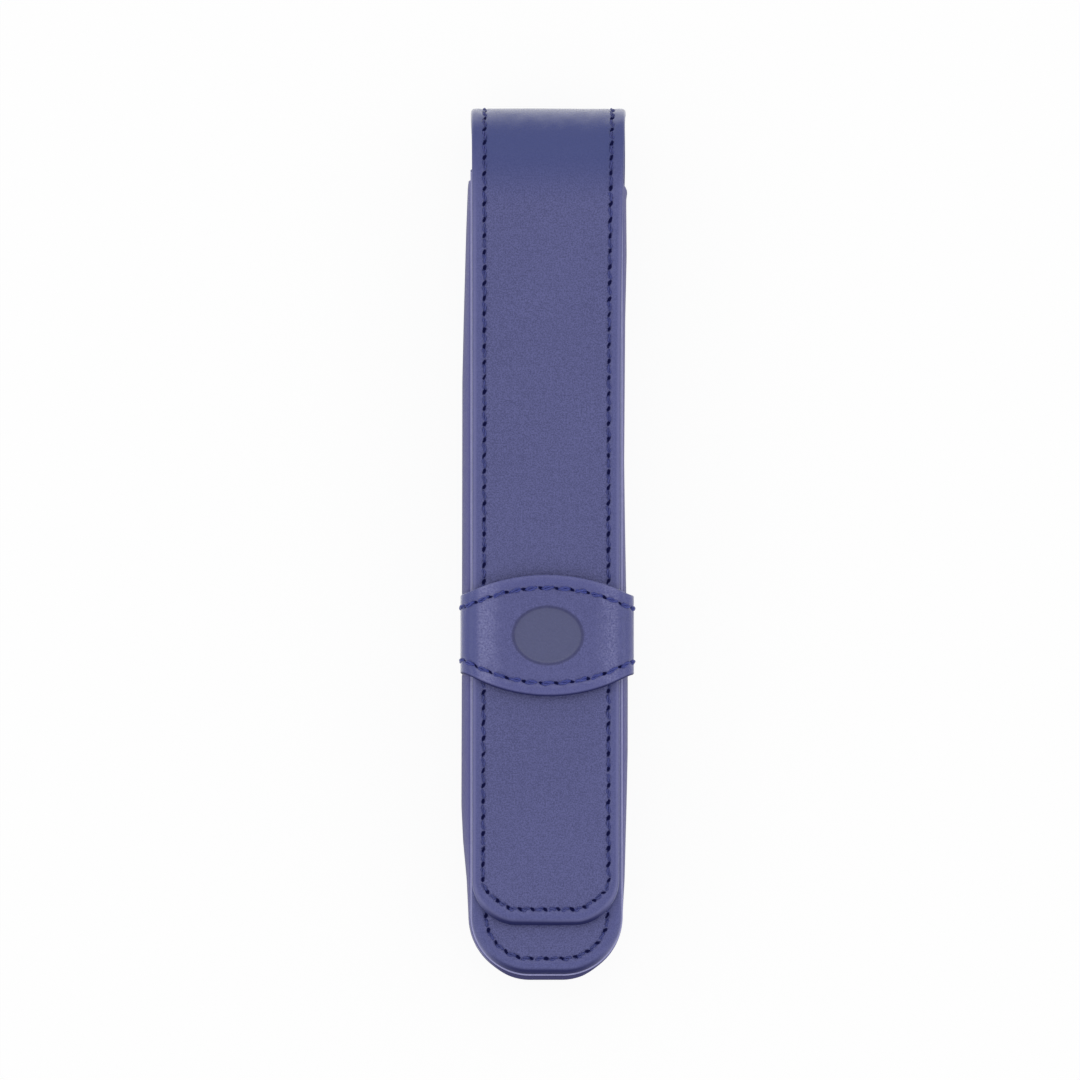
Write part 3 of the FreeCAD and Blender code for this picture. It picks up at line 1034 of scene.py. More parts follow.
@dataclass(frozen=True)
class LeatherFinish:
    """Dyed calf leather with a fine grain, smoother and a little richer along its stitched borders."""

    name: str
    dark: Colour = (0.050, 0.054, 0.172)
    light: Colour = (0.102, 0.108, 0.288)
    rich: Colour = (0.076, 0.085, 0.264)
    painted_edge_highlight: Colour = (0.155, 0.158, 0.350)
    painted_shade: Colour = (0.015, 0.017, 0.088)
    # Colour of the painted shade inside the needle slits.
    slit: Colour = (0.009, 0.010, 0.060)
    roughness: float = 0.5
    gloss: float = 0.1
    specular: float = 0.5
    painted_shade_specular: float = 0.12
    painted_shade_roughness: float = 0.55
    slit_roughness: float = 0.9
    sheen: float = 0.3
    sheen_roughness: float = 0.3
    slow: Noise = Noise(0.045, sway=0.5)
    middle: Noise = Noise(0.8, 3.0, sway=0.8)
    fine: Noise = Noise(3.2, 3.0, 0.7)
    speck: Noise = Noise(6.0, 1.0, sway=0.7)
    mottle: float = 4.2
    hair: Noise = Noise(4.5, 3.0, 0.6, sway=0.16)
    pores: Noise = Noise(1.1, sway=0.14)
    ragged: Noise = Noise(1.6, sway=2.4)
    grain_scale: float = 2.4
    grain_strength: float = 0.6
    grain_height: float = 0.16
    pebble_relief: float = 0.7
    hair_relief: float = 0.7
    pore_relief: float = 0.4
    border_relief: float = 0.4
    border: Span = (1.6, 3.0)
    richness: float = 0.45
    slit_rim: Span = (0.5, 1.35)
    edge_highlight_share: float = 0.55
    edge_highlight_outer: Span = (0.1, 0.4)
    edge_highlight_inner: Span = (0.45, 1.0)
    turn_depth: Span = (-0.42, -0.04)
    turn_inset: Span = (1.0, 1.5)
    foot: float = 0.0
    foot_reach: float = 5.0
    seam: Seam | None = None

    def slits(self, canvas: Canvas) -> Link:
        """Mask of the needle slits.

        Args:
            canvas: The material's tree.

        Returns:
            1 in a slit, 0 elsewhere.
        """
        place = canvas.attribute("seam")
        stitches, inset, lean = (place.part(axis) for axis in "XYZ")
        near = (stitches - stitches.rounded()) * self.seam.pitch
        off = inset - self.seam.inset
        cosine, sine = math.cos(self.seam.slit_turn), math.sin(self.seam.slit_turn)
        reach = (near * cosine - off * lean * sine) / self.seam.slit_reach
        breadth = (near * lean * sine + off * cosine) / self.seam.slit_breadth
        ragged = canvas.attribute("pattern").sway(self.ragged)
        return 1.0 - (reach * reach + breadth * breadth + ragged).eased(*self.slit_rim)

    def tone(self, place: Link) -> Link:
        """Share of the lighter dye, cloudy at several scales.

        Args:
            place: Place in the flat pattern.

        Returns:
            Values about 0.5.
        """
        cloud = 0.5 + place.sway(self.slow) + place.sway(self.middle)
        specks = place.noise(self.fine) - 0.5 + place.sway(self.speck)
        return cloud + specks * self.mottle

    def worn(self, place: Link, colour: Link, grain: Link) -> tuple[Link, Link]:
        """Colour and openness of the grain with marks of making and use; plain leather has none."""
        return colour, grain

    def painted_highlight(self, place: Link, inset: Link) -> Link:
        """Share of the painted highlight a little inside the edge."""
        return inset.eased(*self.edge_highlight_outer) * (1.0 - inset.eased(*self.edge_highlight_inner)) * self.edge_highlight_share

    def turned(self, place: Link, inset: Link) -> Link:
        """Share of the painted shade where the foot's edge turns down.

        Args:
            place: Place in the flat pattern.
            inset: Distance from the edge.

        Returns:
            Values from 0 to 1.
        """
        low = place.part("Y").eased(self.foot - self.foot_reach, self.foot)
        depth = 1.0 - place.part("Z").eased(*self.turn_depth)
        return depth * (1.0 - inset.eased(*self.turn_inset)) * low

    def polished(self, place: Link, roughness: Link) -> Link:
        """Roughness with its polished places; plain leather has none."""
        return roughness

    def make(self) -> Material:
        """Builds the material.

        Returns:
            The material.
        """
        canvas = Canvas(self.name)
        place = canvas.attribute("pattern")
        inset = canvas.attribute("seam").part("Y")
        colour = canvas.blend(self.tone(place), self.dark, self.light)
        grain = inset.eased(*self.border)
        colour = colour.toward(self.rich, (1.0 - grain) * self.richness)
        colour, grain = self.worn(place, colour, grain)
        # A paler tone a little inside the edge is a painted highlight.
        colour = colour.toward(self.painted_edge_highlight, self.painted_highlight(place, inset))
        pebble = place.cells(self.grain_scale)
        hair = place.noise(self.hair)
        pores = place.noise(self.pores)
        relief = pebble * self.pebble_relief + hair * self.hair_relief + pores * self.pore_relief
        height = relief * (self.border_relief + (1.0 - self.border_relief) * grain)
        roughness = self.roughness + (pores - 0.5) * self.pores.sway + (hair - 0.5) * self.hair.sway
        roughness = roughness - (1.0 - grain) * self.gloss
        shader = canvas.shader(
            Base_Color=colour,
            Roughness=self.polished(place, roughness),
            Normal=canvas.bump(height, self.grain_strength, self.grain_height),
            Specular_IOR_Level=self.specular,
            Sheen_Weight=self.sheen,
            Sheen_Roughness=self.sheen_roughness,
        )
        # A dark, dull shader that paints shade where the edge turns down at the foot.
        edge = canvas.shader(
            Base_Color=(*self.painted_shade, 1.0),
            Roughness=self.painted_shade_roughness,
            Specular_IOR_Level=self.painted_shade_specular,
        )
        shader = canvas.mixed(self.turned(place, inset), shader, edge)
        if self.seam is not None:
            # The needle slits are painted with a dark, matt shade.
            slit_shade = canvas.shader(
                Base_Color=(*self.slit, 1.0), Roughness=self.slit_roughness, Specular_IOR_Level=0.0
            )
            shader = canvas.mixed(self.slits(canvas), shader, slit_shade)
        return canvas.surface(shader)


@dataclass(frozen=True)
class StrapFinish(LeatherFinish):
    """The strap's leather: smooth over the fold with painted shade there, shiny and with a painted highlight
    at its crown.
    """

    painted_fold_shade: Colour = (0.030, 0.045, 0.188)
    painted_crown_highlight: Colour = (0.36, 0.37, 0.49)
    fold_start: float = 12.0
    fold_end: float = 24.5
    fold_shade_share: float = 0.9
    fold_grain: float = 0.3
    border_lead: float = 2.5
    border_fold_shade: float = 0.14
    crown_highlight_reach: float = 9.4
    crown_highlight_share: float = 0.27
    fleck_highlight: float = 0.7
    border_highlight: float = 0.12
    crown_highlight_grain: float = 0.4
    edge_highlight_end_share: float = 1.2
    fleck: Noise = Noise(2.4, 3.0, 0.7, sway=3.0)
    cloud: Noise = Noise(0.35, sway=4.0)
    polish: float = 0.3
    polish_from: float = 5.0

    def painted_highlight(self, place: Link, inset: Link) -> Link:
        """Share of the painted highlight along the edge, which begins below the fold."""
        below = place.part("Y").eased(self.fold_start, self.edge_highlight_end_share * self.fold_end)
        return super().painted_highlight(place, inset) * below

    def worn(self, place: Link, colour: Link, grain: Link) -> tuple[Link, Link]:
        """Painted shade over the fold and a painted highlight along the crown.

        Args:
            place: Place in the flat pattern.
            colour: The leather's colour so far.
            grain: How open its grain is, from 0 to 1.

        Returns:
            The colour and the grain with those marks.
        """
        down = place.part("Y")
        border = 1.0 - grain
        # The deeper colour over the fold is painted shade.
        flat = (down + border * self.border_lead).eased(self.fold_start, self.fold_end)
        painted_fold_shade = (1.0 - flat) * (self.fold_shade_share - border * self.border_fold_shade)
        colour = colour.toward(self.painted_fold_shade, painted_fold_shade)
        # The pale band along the crown is a painted highlight in place of the reflection at the fold's top;
        # it also opens the grain there.
        fleck = place.noise(self.fleck)
        drift = (fleck - 0.5) * self.fleck.sway + place.sway(self.cloud)
        crown_highlight_band = 1.0 - (down + drift).eased(0.0, self.crown_highlight_reach)
        painted_highlight = crown_highlight_band * (self.crown_highlight_share + fleck * self.fleck_highlight + border * self.border_highlight)
        smoothed = self.fold_grain + flat * (1.0 - self.fold_grain)
        return colour.toward(self.painted_crown_highlight, painted_highlight), grain * smoothed + painted_highlight * self.crown_highlight_grain

    def polished(self, place: Link, roughness: Link) -> Link:
        """Roughness, which is least along the crown."""
        away = place.part("Y").eased(self.polish_from, self.fold_start)
        return roughness - (1.0 - away) * self.polish


@dataclass(frozen=True)
class GussetFinish(LeatherFinish):
    """The gusset's thinner leather, with painted light where it turns under the front and painted shade at
    the foot.
    """

    dark: Colour = (0.030, 0.030, 0.125)
    light: Colour = (0.060, 0.060, 0.212)
    painted_front_light: Colour = (0.100, 0.100, 0.290)
    painted_shade: Colour = (0.062, 0.061, 0.150)
    specular: float = 0.3
    painted_shade_specular: float = 0.0
    sheen: float = 0.0
    edge_highlight_share: float = 0.0
    front_light: Span = (8.5, 13.5)
    front_light_share: float = 0.8
    shaded_foot: Span = (-79.3, -74.0)

    def worn(self, place: Link, colour: Link, grain: Link) -> tuple[Link, Link]:
        """Colour and openness of the grain, with painted light where the wall turns under the front."""
        front_light = place.part("Z").eased(*self.front_light) * self.front_light_share
        return colour.toward(self.painted_front_light, front_light), grain

    def turned(self, place: Link, inset: Link) -> Link:
        """Share of the painted shade at the foot."""
        return 1.0 - place.part("Y").eased(*self.shaded_foot)


@dataclass(frozen=True)
class KeeperFinish(LeatherFinish):
    """The keeper's leather: finely creased inside its shoulders with a painted highlight there, smooth in the
    pressed oval.
    """

    dark: Colour = (0.054, 0.058, 0.188)
    light: Colour = (0.100, 0.106, 0.292)
    rich: Colour = (0.092, 0.098, 0.290)
    painted_shoulder_highlight: Colour = (0.175, 0.180, 0.380)
    drawn: Colour = (0.056, 0.067, 0.236)
    pressed: Colour = (0.074, 0.081, 0.175)
    mottle: float = 2.6
    edge_highlight_share: float = 0.1
    gloss: float = 0.22
    shoulder: float = 0.0
    oval_across: float = 1.0
    oval_up: float = 1.0
    side: Span = (-0.3, 1.4)
    bend: Span = (-4.4, -0.6)
    bend_drift: Noise = Noise(0.45, 3.0, sway=5.0)
    fleck: Noise = Noise(2.6, 3.0, 0.7, sway=4.0)
    shoulder_highlight_share: float = 0.48
    shoulder_highlight_lean: float = 0.01
    draw_share: float = 0.48
    steep_side_lean: float = 0.016
    floor: Span = (0.84, 0.98)
    floor_share: float = 0.85
    rim_inner: Span = (0.82, 0.95)
    rim_outer: Span = (1.0, 1.14)
    rim_shade_share: float = 0.6
    smoothing: float = 0.8
    shaded_edge: Span = (0.1, 0.55)

    def worn(self, place: Link, colour: Link, grain: Link) -> tuple[Link, Link]:
        """Painted highlight inside the shoulders, the steep sides' tone, the pressed oval and painted shade
        round it.

        Args:
            place: Place in the flat pattern.
            colour: The leather's colour so far.
            grain: How open its grain is, from 0 to 1.

        Returns:
            The colour and the grain with those marks.
        """
        across, up = place.part("X"), place.part("Y")
        side = across.size().eased(*(self.shoulder + step for step in self.side))
        around = across.size() + place.sway(self.bend_drift)
        bent = around.eased(*(self.shoulder + step for step in self.bend)) * (1.0 - side)
        # The paler tone inside the shoulders is a painted highlight, a little stronger on the left.
        shoulder_highlight_amount = place.sway(self.fleck) + self.shoulder_highlight_share - across * self.shoulder_highlight_lean
        colour = colour.toward(self.painted_shoulder_highlight, bent * shoulder_highlight_amount)
        # The deeper blue on the steep sides is partly the leather's smoother tone and partly painted shading,
        # which differs from left to right.
        colour = colour.toward(self.drawn, side * (self.draw_share - across * self.steep_side_lean))
        oval_x, oval_y = across / self.oval_across, up / self.oval_up
        oval = oval_x * oval_x + oval_y * oval_y
        floor = 1.0 - oval.eased(*self.floor)
        rim = oval.eased(*self.rim_inner) * (1.0 - oval.eased(*self.rim_outer))
        colour = colour.toward(self.pressed, floor * self.floor_share)
        # Painted shade along the pressed oval's wall.
        colour = colour.toward(self.painted_shade, rim * self.rim_shade_share)
        return colour, grain * (1.0 - floor * self.smoothing) * (1.0 - side * self.smoothing)

    def turned(self, place: Link, inset: Link) -> Link:
        """Share of the painted shade along the lower edge."""
        below = (0.0 - place.part("Y")).eased(0.0, self.oval_up)
        return (1.0 - inset.eased(*self.shaded_edge)) * below


@dataclass(frozen=True)
class PlainFinish:
    """A finish with one kind of detail, between a darker and a lighter tone."""

    name: str
    dark: Colour
    light: Colour
    roughness: float
    roughness_sway: float
    bump_strength: float
    bump_height: float
    sheen: float = 0.0
    sheen_roughness: float = 0.5

    def detail(self, place: Link) -> tuple[Link, Link, Link]:
        """Share of the lighter tone, wear and bumps, which each kind of finish has in its own way."""
        raise NotImplementedError

    def make(self) -> Material:
        """Builds the material.

        Returns:
            The material.
        """
        canvas = Canvas(self.name)
        tone, wear, bumps = self.detail(canvas.attribute("pattern"))
        shader = canvas.shader(
            Base_Color=canvas.blend(tone, self.dark, self.light),
            Roughness=self.roughness + (wear - 0.5) * self.roughness_sway,
            Normal=canvas.bump(bumps, self.bump_strength, self.bump_height),
            Sheen_Weight=self.sheen,
            Sheen_Roughness=self.sheen_roughness,
        )
        return canvas.surface(shader)


@dataclass(frozen=True)
class EdgePaintFinish(PlainFinish):
    """Glossy paint that seals a cut edge, with the slight ripple of a hand-drawn bead."""

    dark: Colour = (0.045, 0.050, 0.180)
    light: Colour = (0.060, 0.066, 0.210)
    roughness: float = 0.3
    roughness_sway: float = 0.2
    bump_strength: float = 0.25
    bump_height: float = 0.1
    ripple: Noise = Noise(0.5)
    speck: Noise = Noise(3.0)
    ripple_share: float = 0.7

    def detail(self, place: Link) -> tuple[Link, Link, Link]:
        """Ripples, with specks that dull them."""
        ripple, speck = place.noise(self.ripple), place.noise(self.speck)
        return ripple, speck, ripple * self.ripple_share + speck * (1.0 - self.ripple_share)


@dataclass(frozen=True)
class LiningFinish(PlainFinish):
    """Brushed microfibre with a short soft nap."""

    dark: Colour = (0.014, 0.016, 0.060)
    light: Colour = (0.028, 0.032, 0.108)
    roughness: float = 0.88
    roughness_sway: float = 0.1
    bump_strength: float = 0.5
    bump_height: float = 0.12
    sheen: float = 0.1
    brushed: Noise = Noise(0.12, 3.0, sway=1.2)
    nap: Noise = Noise(3.2, 3.0, 0.7, sway=1.4)

    def detail(self, place: Link) -> tuple[Link, Link, Link]:
        """Nap, brushed one way and another."""
        nap = place.noise(self.nap)
        return 0.5 + place.sway(self.brushed) + (nap - 0.5) * self.nap.sway, nap, nap


@dataclass(frozen=True)
class ThreadFinish(PlainFinish):
    """Bonded sewing thread, fibres twisted along each ply."""

    dark: Colour = (0.010, 0.013, 0.088)
    light: Colour = (0.052, 0.063, 0.265)
    roughness: float = 0.45
    roughness_sway: float = 0.2
    bump_strength: float = 0.5
    bump_height: float = 0.05
    fibres: float = 3.0
    lay: float = 9.0
    worn: Noise = Noise(0.7)
    twist_share: float = 0.55
    worn_share: float = 0.6

    def detail(self, place: Link) -> tuple[Link, Link, Link]:
        """Twisted fibres, worn in places.

        Args:
            place: Place along a stitch and round its ply.

        Returns:
            The share of the lighter tone, the wear and the bumps.
        """
        along, around = place.part("X"), place.part("Y")
        twist = (around * self.fibres + along * self.lay).sine() * 0.5 + 0.5
        worn = place.canvas.attribute("seam").noise(self.worn)
        return twist * self.twist_share + worn * self.worn_share, worn, twist


@dataclass(frozen=True)
class BoardFinish(PlainFinish):
    """Bonded leather board, all short fibres."""

    dark: Colour = (0.12, 0.085, 0.06)
    light: Colour = (0.2, 0.15, 0.1)
    roughness: float = 0.8
    roughness_sway: float = 0.2
    bump_strength: float = 0.4
    bump_height: float = 0.1
    fibre: Noise = Noise(1.6, 4.0, 0.7)

    def detail(self, place: Link) -> tuple[Link, Link, Link]:
        """Short fibres."""
        fibre = place.noise(self.fibre)
        return fibre, fibre, fibre


PALE_PAINT: tuple[Colour, Colour] = ((0.25, 0.25, 0.47), (0.35, 0.35, 0.62))
# A darker copy of the edge paint, as painted shade, for the keeper's edges and the front's edge below its
# bead.
SHADED_PAINT: tuple[Colour, Colour] = ((0.014, 0.016, 0.080), (0.022, 0.025, 0.105))
KEEPER_THREAD: tuple[Colour, Colour] = ((0.012, 0.017, 0.120), (0.050, 0.066, 0.330))


class Finishes:
    """The materials that the sub-assemblies share."""

    def __init__(self) -> None:
        """Builds the materials."""
        self.paint = EdgePaintFinish("edge_paint").make()
        self.pale_paint = EdgePaintFinish("pale_edge_paint", *PALE_PAINT).make()
        self.lining = LiningFinish("microfibre_lining").make()
        self.thread = ThreadFinish("sewing_thread").make()
        self.keeper_thread = ThreadFinish("keeper_thread", *KEEPER_THREAD).make()
        self.shaded_paint = EdgePaintFinish("shaded_edge_paint", *SHADED_PAINT).make()
        self.board = BoardFinish("bonded_board").make()


def report(piece: Piece, slot: str, *nodes: str) -> Piece:
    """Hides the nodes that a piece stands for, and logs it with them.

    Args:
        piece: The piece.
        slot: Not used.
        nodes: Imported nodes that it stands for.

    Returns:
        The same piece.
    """
    if nodes:
        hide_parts(*nodes)
    meant = ", ".join(nodes) or "itself"
    LOG.info("%s: %d faces, stands for %s", piece.name, len(piece.data.polygons), meant)
    return piece


LINING_EDGE = (
    SectionRow(1.2, 0.0),
    SectionRow(0.1, 0.0),
    SectionRow(0.0, -0.1),
    SectionRow(0.0, 0.25, under=True),
    SectionRow(0.12, 0.06, under=True),
    SectionRow(0.4, 0.0, under=True),
    SectionRow(1.2, 0.0, under=True),
)
BOARD_EASE_SHARE = 0.125


def lining_rows(inset: float) -> list[SectionRow]:
    """Rows of a lining with softly turned edges, which ends this far inside the panel's edge."""
    return [replace(row, inset=inset + row.inset) for row in LINING_EDGE]


def board_rows(inset: float, thickness: float) -> list[SectionRow]:
    """Rows of a plain board with a cut edge.

    Args:
        inset: How far inside the panel's edge the board ends.
        thickness: The board's thickness.

    Returns:
        The rows in order.
    """
    ease_off = thickness * BOARD_EASE_SHARE
    return [
        SectionRow(inset + ease_off, 0.0),
        SectionRow(inset, -ease_off),
        SectionRow(inset, ease_off, under=True),
        SectionRow(inset + ease_off, 0.0, under=True),
    ]


@dataclass
class Strap:
    """The long strip that makes the back, the top fold and the flap, with its lining, board and stitching."""

    levels: Levels
    finishes: Finishes
    profile: StrapProfile
    seam: Seam = Seam(inset=2.25)
    edge: Edge = Edge()
    thread: Thread = Thread()
    foot_radius: float = 11.0
    foot_pitch: float = 2.6
    foot_roll: float = 0.15
    tip_radius: float = 7.9
    tip_half: float = 13.42
    tip_pitch: float = 2.4
    tip_roll: float = 0.55
    corner_gain: float = 0.3
    flare: float = 0.25
    neck: float = 0.62
    tip_bow: float = 0.35
    crown_gain: float = 0.11
    slim: float = 0.16
    tip_gain: float = 0.40
    crown_sway: float = 0.44
    sway_reach: float = 22.0
    tip_sway: float = -0.22
    back_sway: float = 0.4
    back_sway_place: float = 16.0
    lining_inset: float = 0.85
    board_inset: float = 3.2
    board_start: float = 14.5
    board_ramp: float = 6.0
    bobbin_reach: float = 30.0

    def sway(self, distance: Array) -> Array:
        """Sideways drift of the hand-cut strip.

        Args:
            distance: Distances from the crown.

        Returns:
            Shifts to the right.
        """
        crown = self.crown_sway * np.exp(-np.abs(distance) / self.sway_reach)
        behind = (np.minimum(distance, 0.0) / self.back_sway_place) ** 2
        tip = np.clip(distance / self.profile.front_length, 0.0, 1.0)
        return crown + self.back_sway * behind * np.exp(1.0 - behind) + self.tip_sway * tip

    def place(self, half: Half, across: Array, down: Array, height: Array) -> Array:
        """Points in space of one half, which runs down from the crown."""
        distance = half.value * down
        return self.profile.place(across + self.sway(distance), distance, height)

    def depth(self, half: Half, down: Array) -> Array:
        """Distance from the grain side to the lining, which the board widens below the fold of the back."""
        board = self.levels.board if half is Half.BACK else 0.0
        return self.levels.leather + board * ease(down, self.board_start, self.board_start + self.board_ramp)

    def outline(self, half: Half) -> TongueOutline:
        """Outline of one half.

        Args:
            half: The half.

        Returns:
            The outline.
        """
        width = self.levels.half_width
        shared = {"half_open": width + self.flare, "open_gain": self.crown_gain}
        shared["seam_inset"] = self.seam.inset
        if half is Half.BACK:
            return TongueOutline(
                half_foot=width,
                length=self.profile.back_length,
                radius=self.foot_radius,
                neck=self.flare,
                **shared,
            )
        return TongueOutline(
            half_foot=self.tip_half,
            length=self.profile.front_length - self.tip_bow,
            radius=self.tip_radius,
            bow=self.tip_bow,
            neck=self.neck,
            slim=self.slim,
            foot_gain=self.tip_gain,
            corner_gain=self.corner_gain,
            **shared,
        )

    def leather(self, name: str, half: Half) -> Tongue:
        """Leather of one half, up to the crown.

        Args:
            name: Name of the piece.
            half: The half.

        Returns:
            The layer, ready to build.
        """
        outline = self.outline(half)
        grain = StrapFinish(f"{name}_grain", foot=outline.length, seam=self.seam)
        flap = half is Half.FLAP
        return Tongue(
            name=name,
            outline=outline,
            rows=self.edge.rows(self.seam, self.levels.leather),
            place=partial(self.place, half),
            finishes=[grain.make(), self.finishes.paint],
            thickness=lambda down: self.depth(half, down) + self.levels.lining,
            seam=self.seam,
            foot_pitch=self.tip_pitch if flap else self.foot_pitch,
            foot_roll=self.tip_roll if flap else self.foot_roll,
        )

    def lining(self, name: str, half: Half) -> Piece:
        """Makes the lining of one half, inside the painted lip.

        Args:
            name: Name of the piece.
            half: The half.

        Returns:
            The piece.
        """
        return under_layer(
            name,
            self.outline(half),
            lining_rows(self.lining_inset),
            lambda across, down, height: self.place(half, across, down, height - self.depth(half, down)),
            self.finishes.lining,
            self.levels.lining,
        )

    def board(self) -> Piece:
        """Makes the stiffening board inside the back.

        Returns:
            The piece.
        """
        half, leather = self.levels.half_width, self.levels.leather
        top = self.board_start + self.board_ramp
        length = self.profile.back_length - top
        return under_layer(
            "back_stiffener",
            TongueOutline(half, half, length, self.foot_radius, self.seam.inset),
            board_rows(self.board_inset, self.levels.board),
            lambda across, down, height: self.place(Half.BACK, across, down + top, height - leather),
            self.finishes.board,
            self.levels.board,
            coarse_step=1,
        )

    def bend(self, piece: Piece, half: Half) -> None:
        """Bakes a piece's place into its mesh.

        Args:
            piece: The piece.
            half: The half that it is on.
        """
        radius = self.profile.radius * MM
        crown = (0.0, self.levels.crown * MM, radius)
        if half is Half.FLAP:
            crown[1] - radius
            2.0 * radius
            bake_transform(piece)
        else:
            crown[1] - radius
            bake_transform(piece)

    def build(self) -> None:
        """Makes and dresses every piece of the strap."""
        for half, leathers, linings, threads in (
            (Half.BACK, ("back_panel",), ("back_lining",), ("back_seam_stitches",)),
            (
                Half.FLAP,
                ("fold_leather", "flap_leather", "tail_leather"),
                ("fold_lining", "flap_lining", "tail_lining"),
                ("fold_stitches", "flap_stitches", "tail_stitches"),
            ),
        ):
            name = f"strap_{half.name.lower()}"
            layer = self.leather(f"{name}_leather", half)
            leather = report(layer.build(), "leather", *leathers)
            lining = report(self.lining(f"{name}_lining", half), "lining", *linings)
            bobbin_reach = math.inf if half is Half.FLAP else self.bobbin_reach
            runs = [layer.run(), layer.run(Face.LINING, bobbin_reach)]
            thread = self.thread.build(f"{name}_stitching", runs, self.finishes.thread)
            report(thread, "thread", *threads)
            for piece in (leather, lining, thread):
                self.bend(piece, half)
        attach(report(self.board(), "board", "back_board"), "case")


@dataclass
class PouchFront:
    """Front of the pouch: leather, board and lining under the flap, with a finished mouth."""

    levels: Levels
    finishes: Finishes
    profile: StrapProfile
    seam: Seam = Seam(inset=2.6)
    edge: Edge = Edge(bead=0.25)
    thread: Thread = Thread()
    foot_radius: float = 10.7
    foot_gain: float = 0.115
    foot_roll: float = 1.0
    foot_lift: float = 0.18
    foot_pitch: float = 2.65
    lining_inset: float = 0.85
    board_inset: float = 3.2
    mouth_bead: float = 0.45
    bead_steps: int = 8
    bead_stations: int = 41
    bead_end_power: int = 24
    bead_least: float = 0.02
    bead_out_power: float = 0.8
    bead_rise_power: float = 0.5
    bead_proud: float = 0.02
    bead_sink: float = 0.1
    mouth_seam_reach: float = 9.5

    def place(self, across: Array, down: Array, height: Array) -> Array:
        """Points in space of the front, which dips with the flap near the mouth."""
        along = self.levels.mouth - down
        return as_points(across, along, self.levels.front_top - self.profile.drop(along) + height)

    def stack(self, down: Array) -> Array:
        """Thickness of leather, board and lining together."""
        return np.full_like(down, self.levels.front_top - self.levels.front_inside)

    def outline(self) -> TongueOutline:
        """Outline of the front, inside the bead of its edge.

        Returns:
            The outline.
        """
        half = self.levels.half_width - self.edge.bead
        length = self.levels.mouth - self.levels.foot - self.edge.bead - self.foot_lift
        return TongueOutline(
            half, half, length, self.foot_radius, self.seam.inset, foot_gain=self.foot_gain
        )

    def leather(self) -> Tongue:
        """Leather of the front.

        Returns:
            The layer, ready to build.
        """
        outline = self.outline()
        grain = LeatherFinish("front_leather_grain", edge_highlight_share=0.0, foot=outline.length, seam=self.seam)
        return Tongue(
            name="front_leather",
            outline=outline,
            rows=self.edge.rows(self.seam, self.levels.leather),
            place=self.place,
            finishes=[grain.make(), self.finishes.shaded_paint, self.finishes.pale_paint],
            thickness=self.stack,
            seam=self.seam,
            foot_pitch=self.foot_pitch,
            foot_roll=self.foot_roll,
        )

    def lining(self) -> Piece:
        """Makes the lining of the front.

        Returns:
            The piece.
        """
        depth = self.levels.leather + self.levels.board
        return under_layer(
            "front_lining_cloth",
            self.outline(),
            lining_rows(self.lining_inset),
            lambda across, down, height: self.place(across, down, height - depth),
            self.finishes.lining,
            self.levels.lining,
        )

    def board(self) -> Piece:
        """Makes the stiffening board inside the front.

        Returns:
            The piece.
        """
        return under_layer(
            "front_stiffener",
            self.outline(),
            board_rows(self.board_inset, self.levels.board),
            lambda across, down, height: self.place(across, down, height - self.levels.leather),
            self.finishes.board,
            self.levels.board,
        )

    def mouth_edge(self) -> Piece:
        """Makes the painted bead along the mouth, over the edges of all three layers.

        Returns:
            The piece.
        """
        shell = Shell("mouth_edge")
        half = self.levels.half_width
        stack = self.levels.front_top - self.levels.front_inside
        places = half * np.sin(np.linspace(-QUARTER, QUARTER, self.bead_stations))
        swell = 1.0 - (np.abs(places) / half) ** self.bead_end_power
        swell = np.sqrt(np.clip(swell, self.bead_least, 1.0))[:, None]
        turn = np.linspace(0.0, 2.0 * np.pi, 4 * self.bead_steps, endpoint=False)
        cosine, sine = np.cos(turn), np.sin(turn)
        out = np.sign(cosine) * np.abs(cosine) ** self.bead_out_power * self.mouth_bead
        rise = np.sign(sine) * np.abs(sine) ** self.bead_rise_power * (stack / 2.0 + self.bead_proud)
        across = places[:, None]
        down = -out * swell + self.bead_sink
        shell.loft(shell.add(across, down, rise * swell - stack / 2.0, across, 0.0, 1.0))
        return shell.finish(self.place, [self.finishes.paint])

    def mouth_run(self) -> StitchRun:
        """The row of stitches under the mouth.

        Returns:
            The run of stitches.
        """
        span = 2.0 * self.mouth_seam_reach
        count = round(span / self.seam.pitch)
        pitch = span / count

        def locate(along: Array, inset: Array, height: Array) -> Array:
            """Points in space of a thread."""
            return self.place(along - self.mouth_seam_reach, inset, height)

        return StitchRun(locate, self.seam.inset, np.arange(count) * pitch, np.full(count, pitch))

    def sew(self, name: str, run: StitchRun) -> Piece:
        """Makes one row of stitches."""
        return self.thread.build(name, [run], self.finishes.thread)

    def build(self) -> None:
        """Makes and dresses every piece of the front."""
        leather = self.leather()
        pieces = [
            report(leather.build(), "leather", "front_panel"),
            report(self.lining(), "lining", "front_lining"),
            report(self.board(), "board", "front_board"),
            report(self.mouth_edge(), "leather"),
            report(self.sew("front_stitching", leather.run()), "thread", "front_seam_stitches"),
            report(self.sew("mouth_stitching", self.mouth_run()), "thread", "mouth_stitches"),
        ]
        for piece in pieces:
            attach(piece, "case")


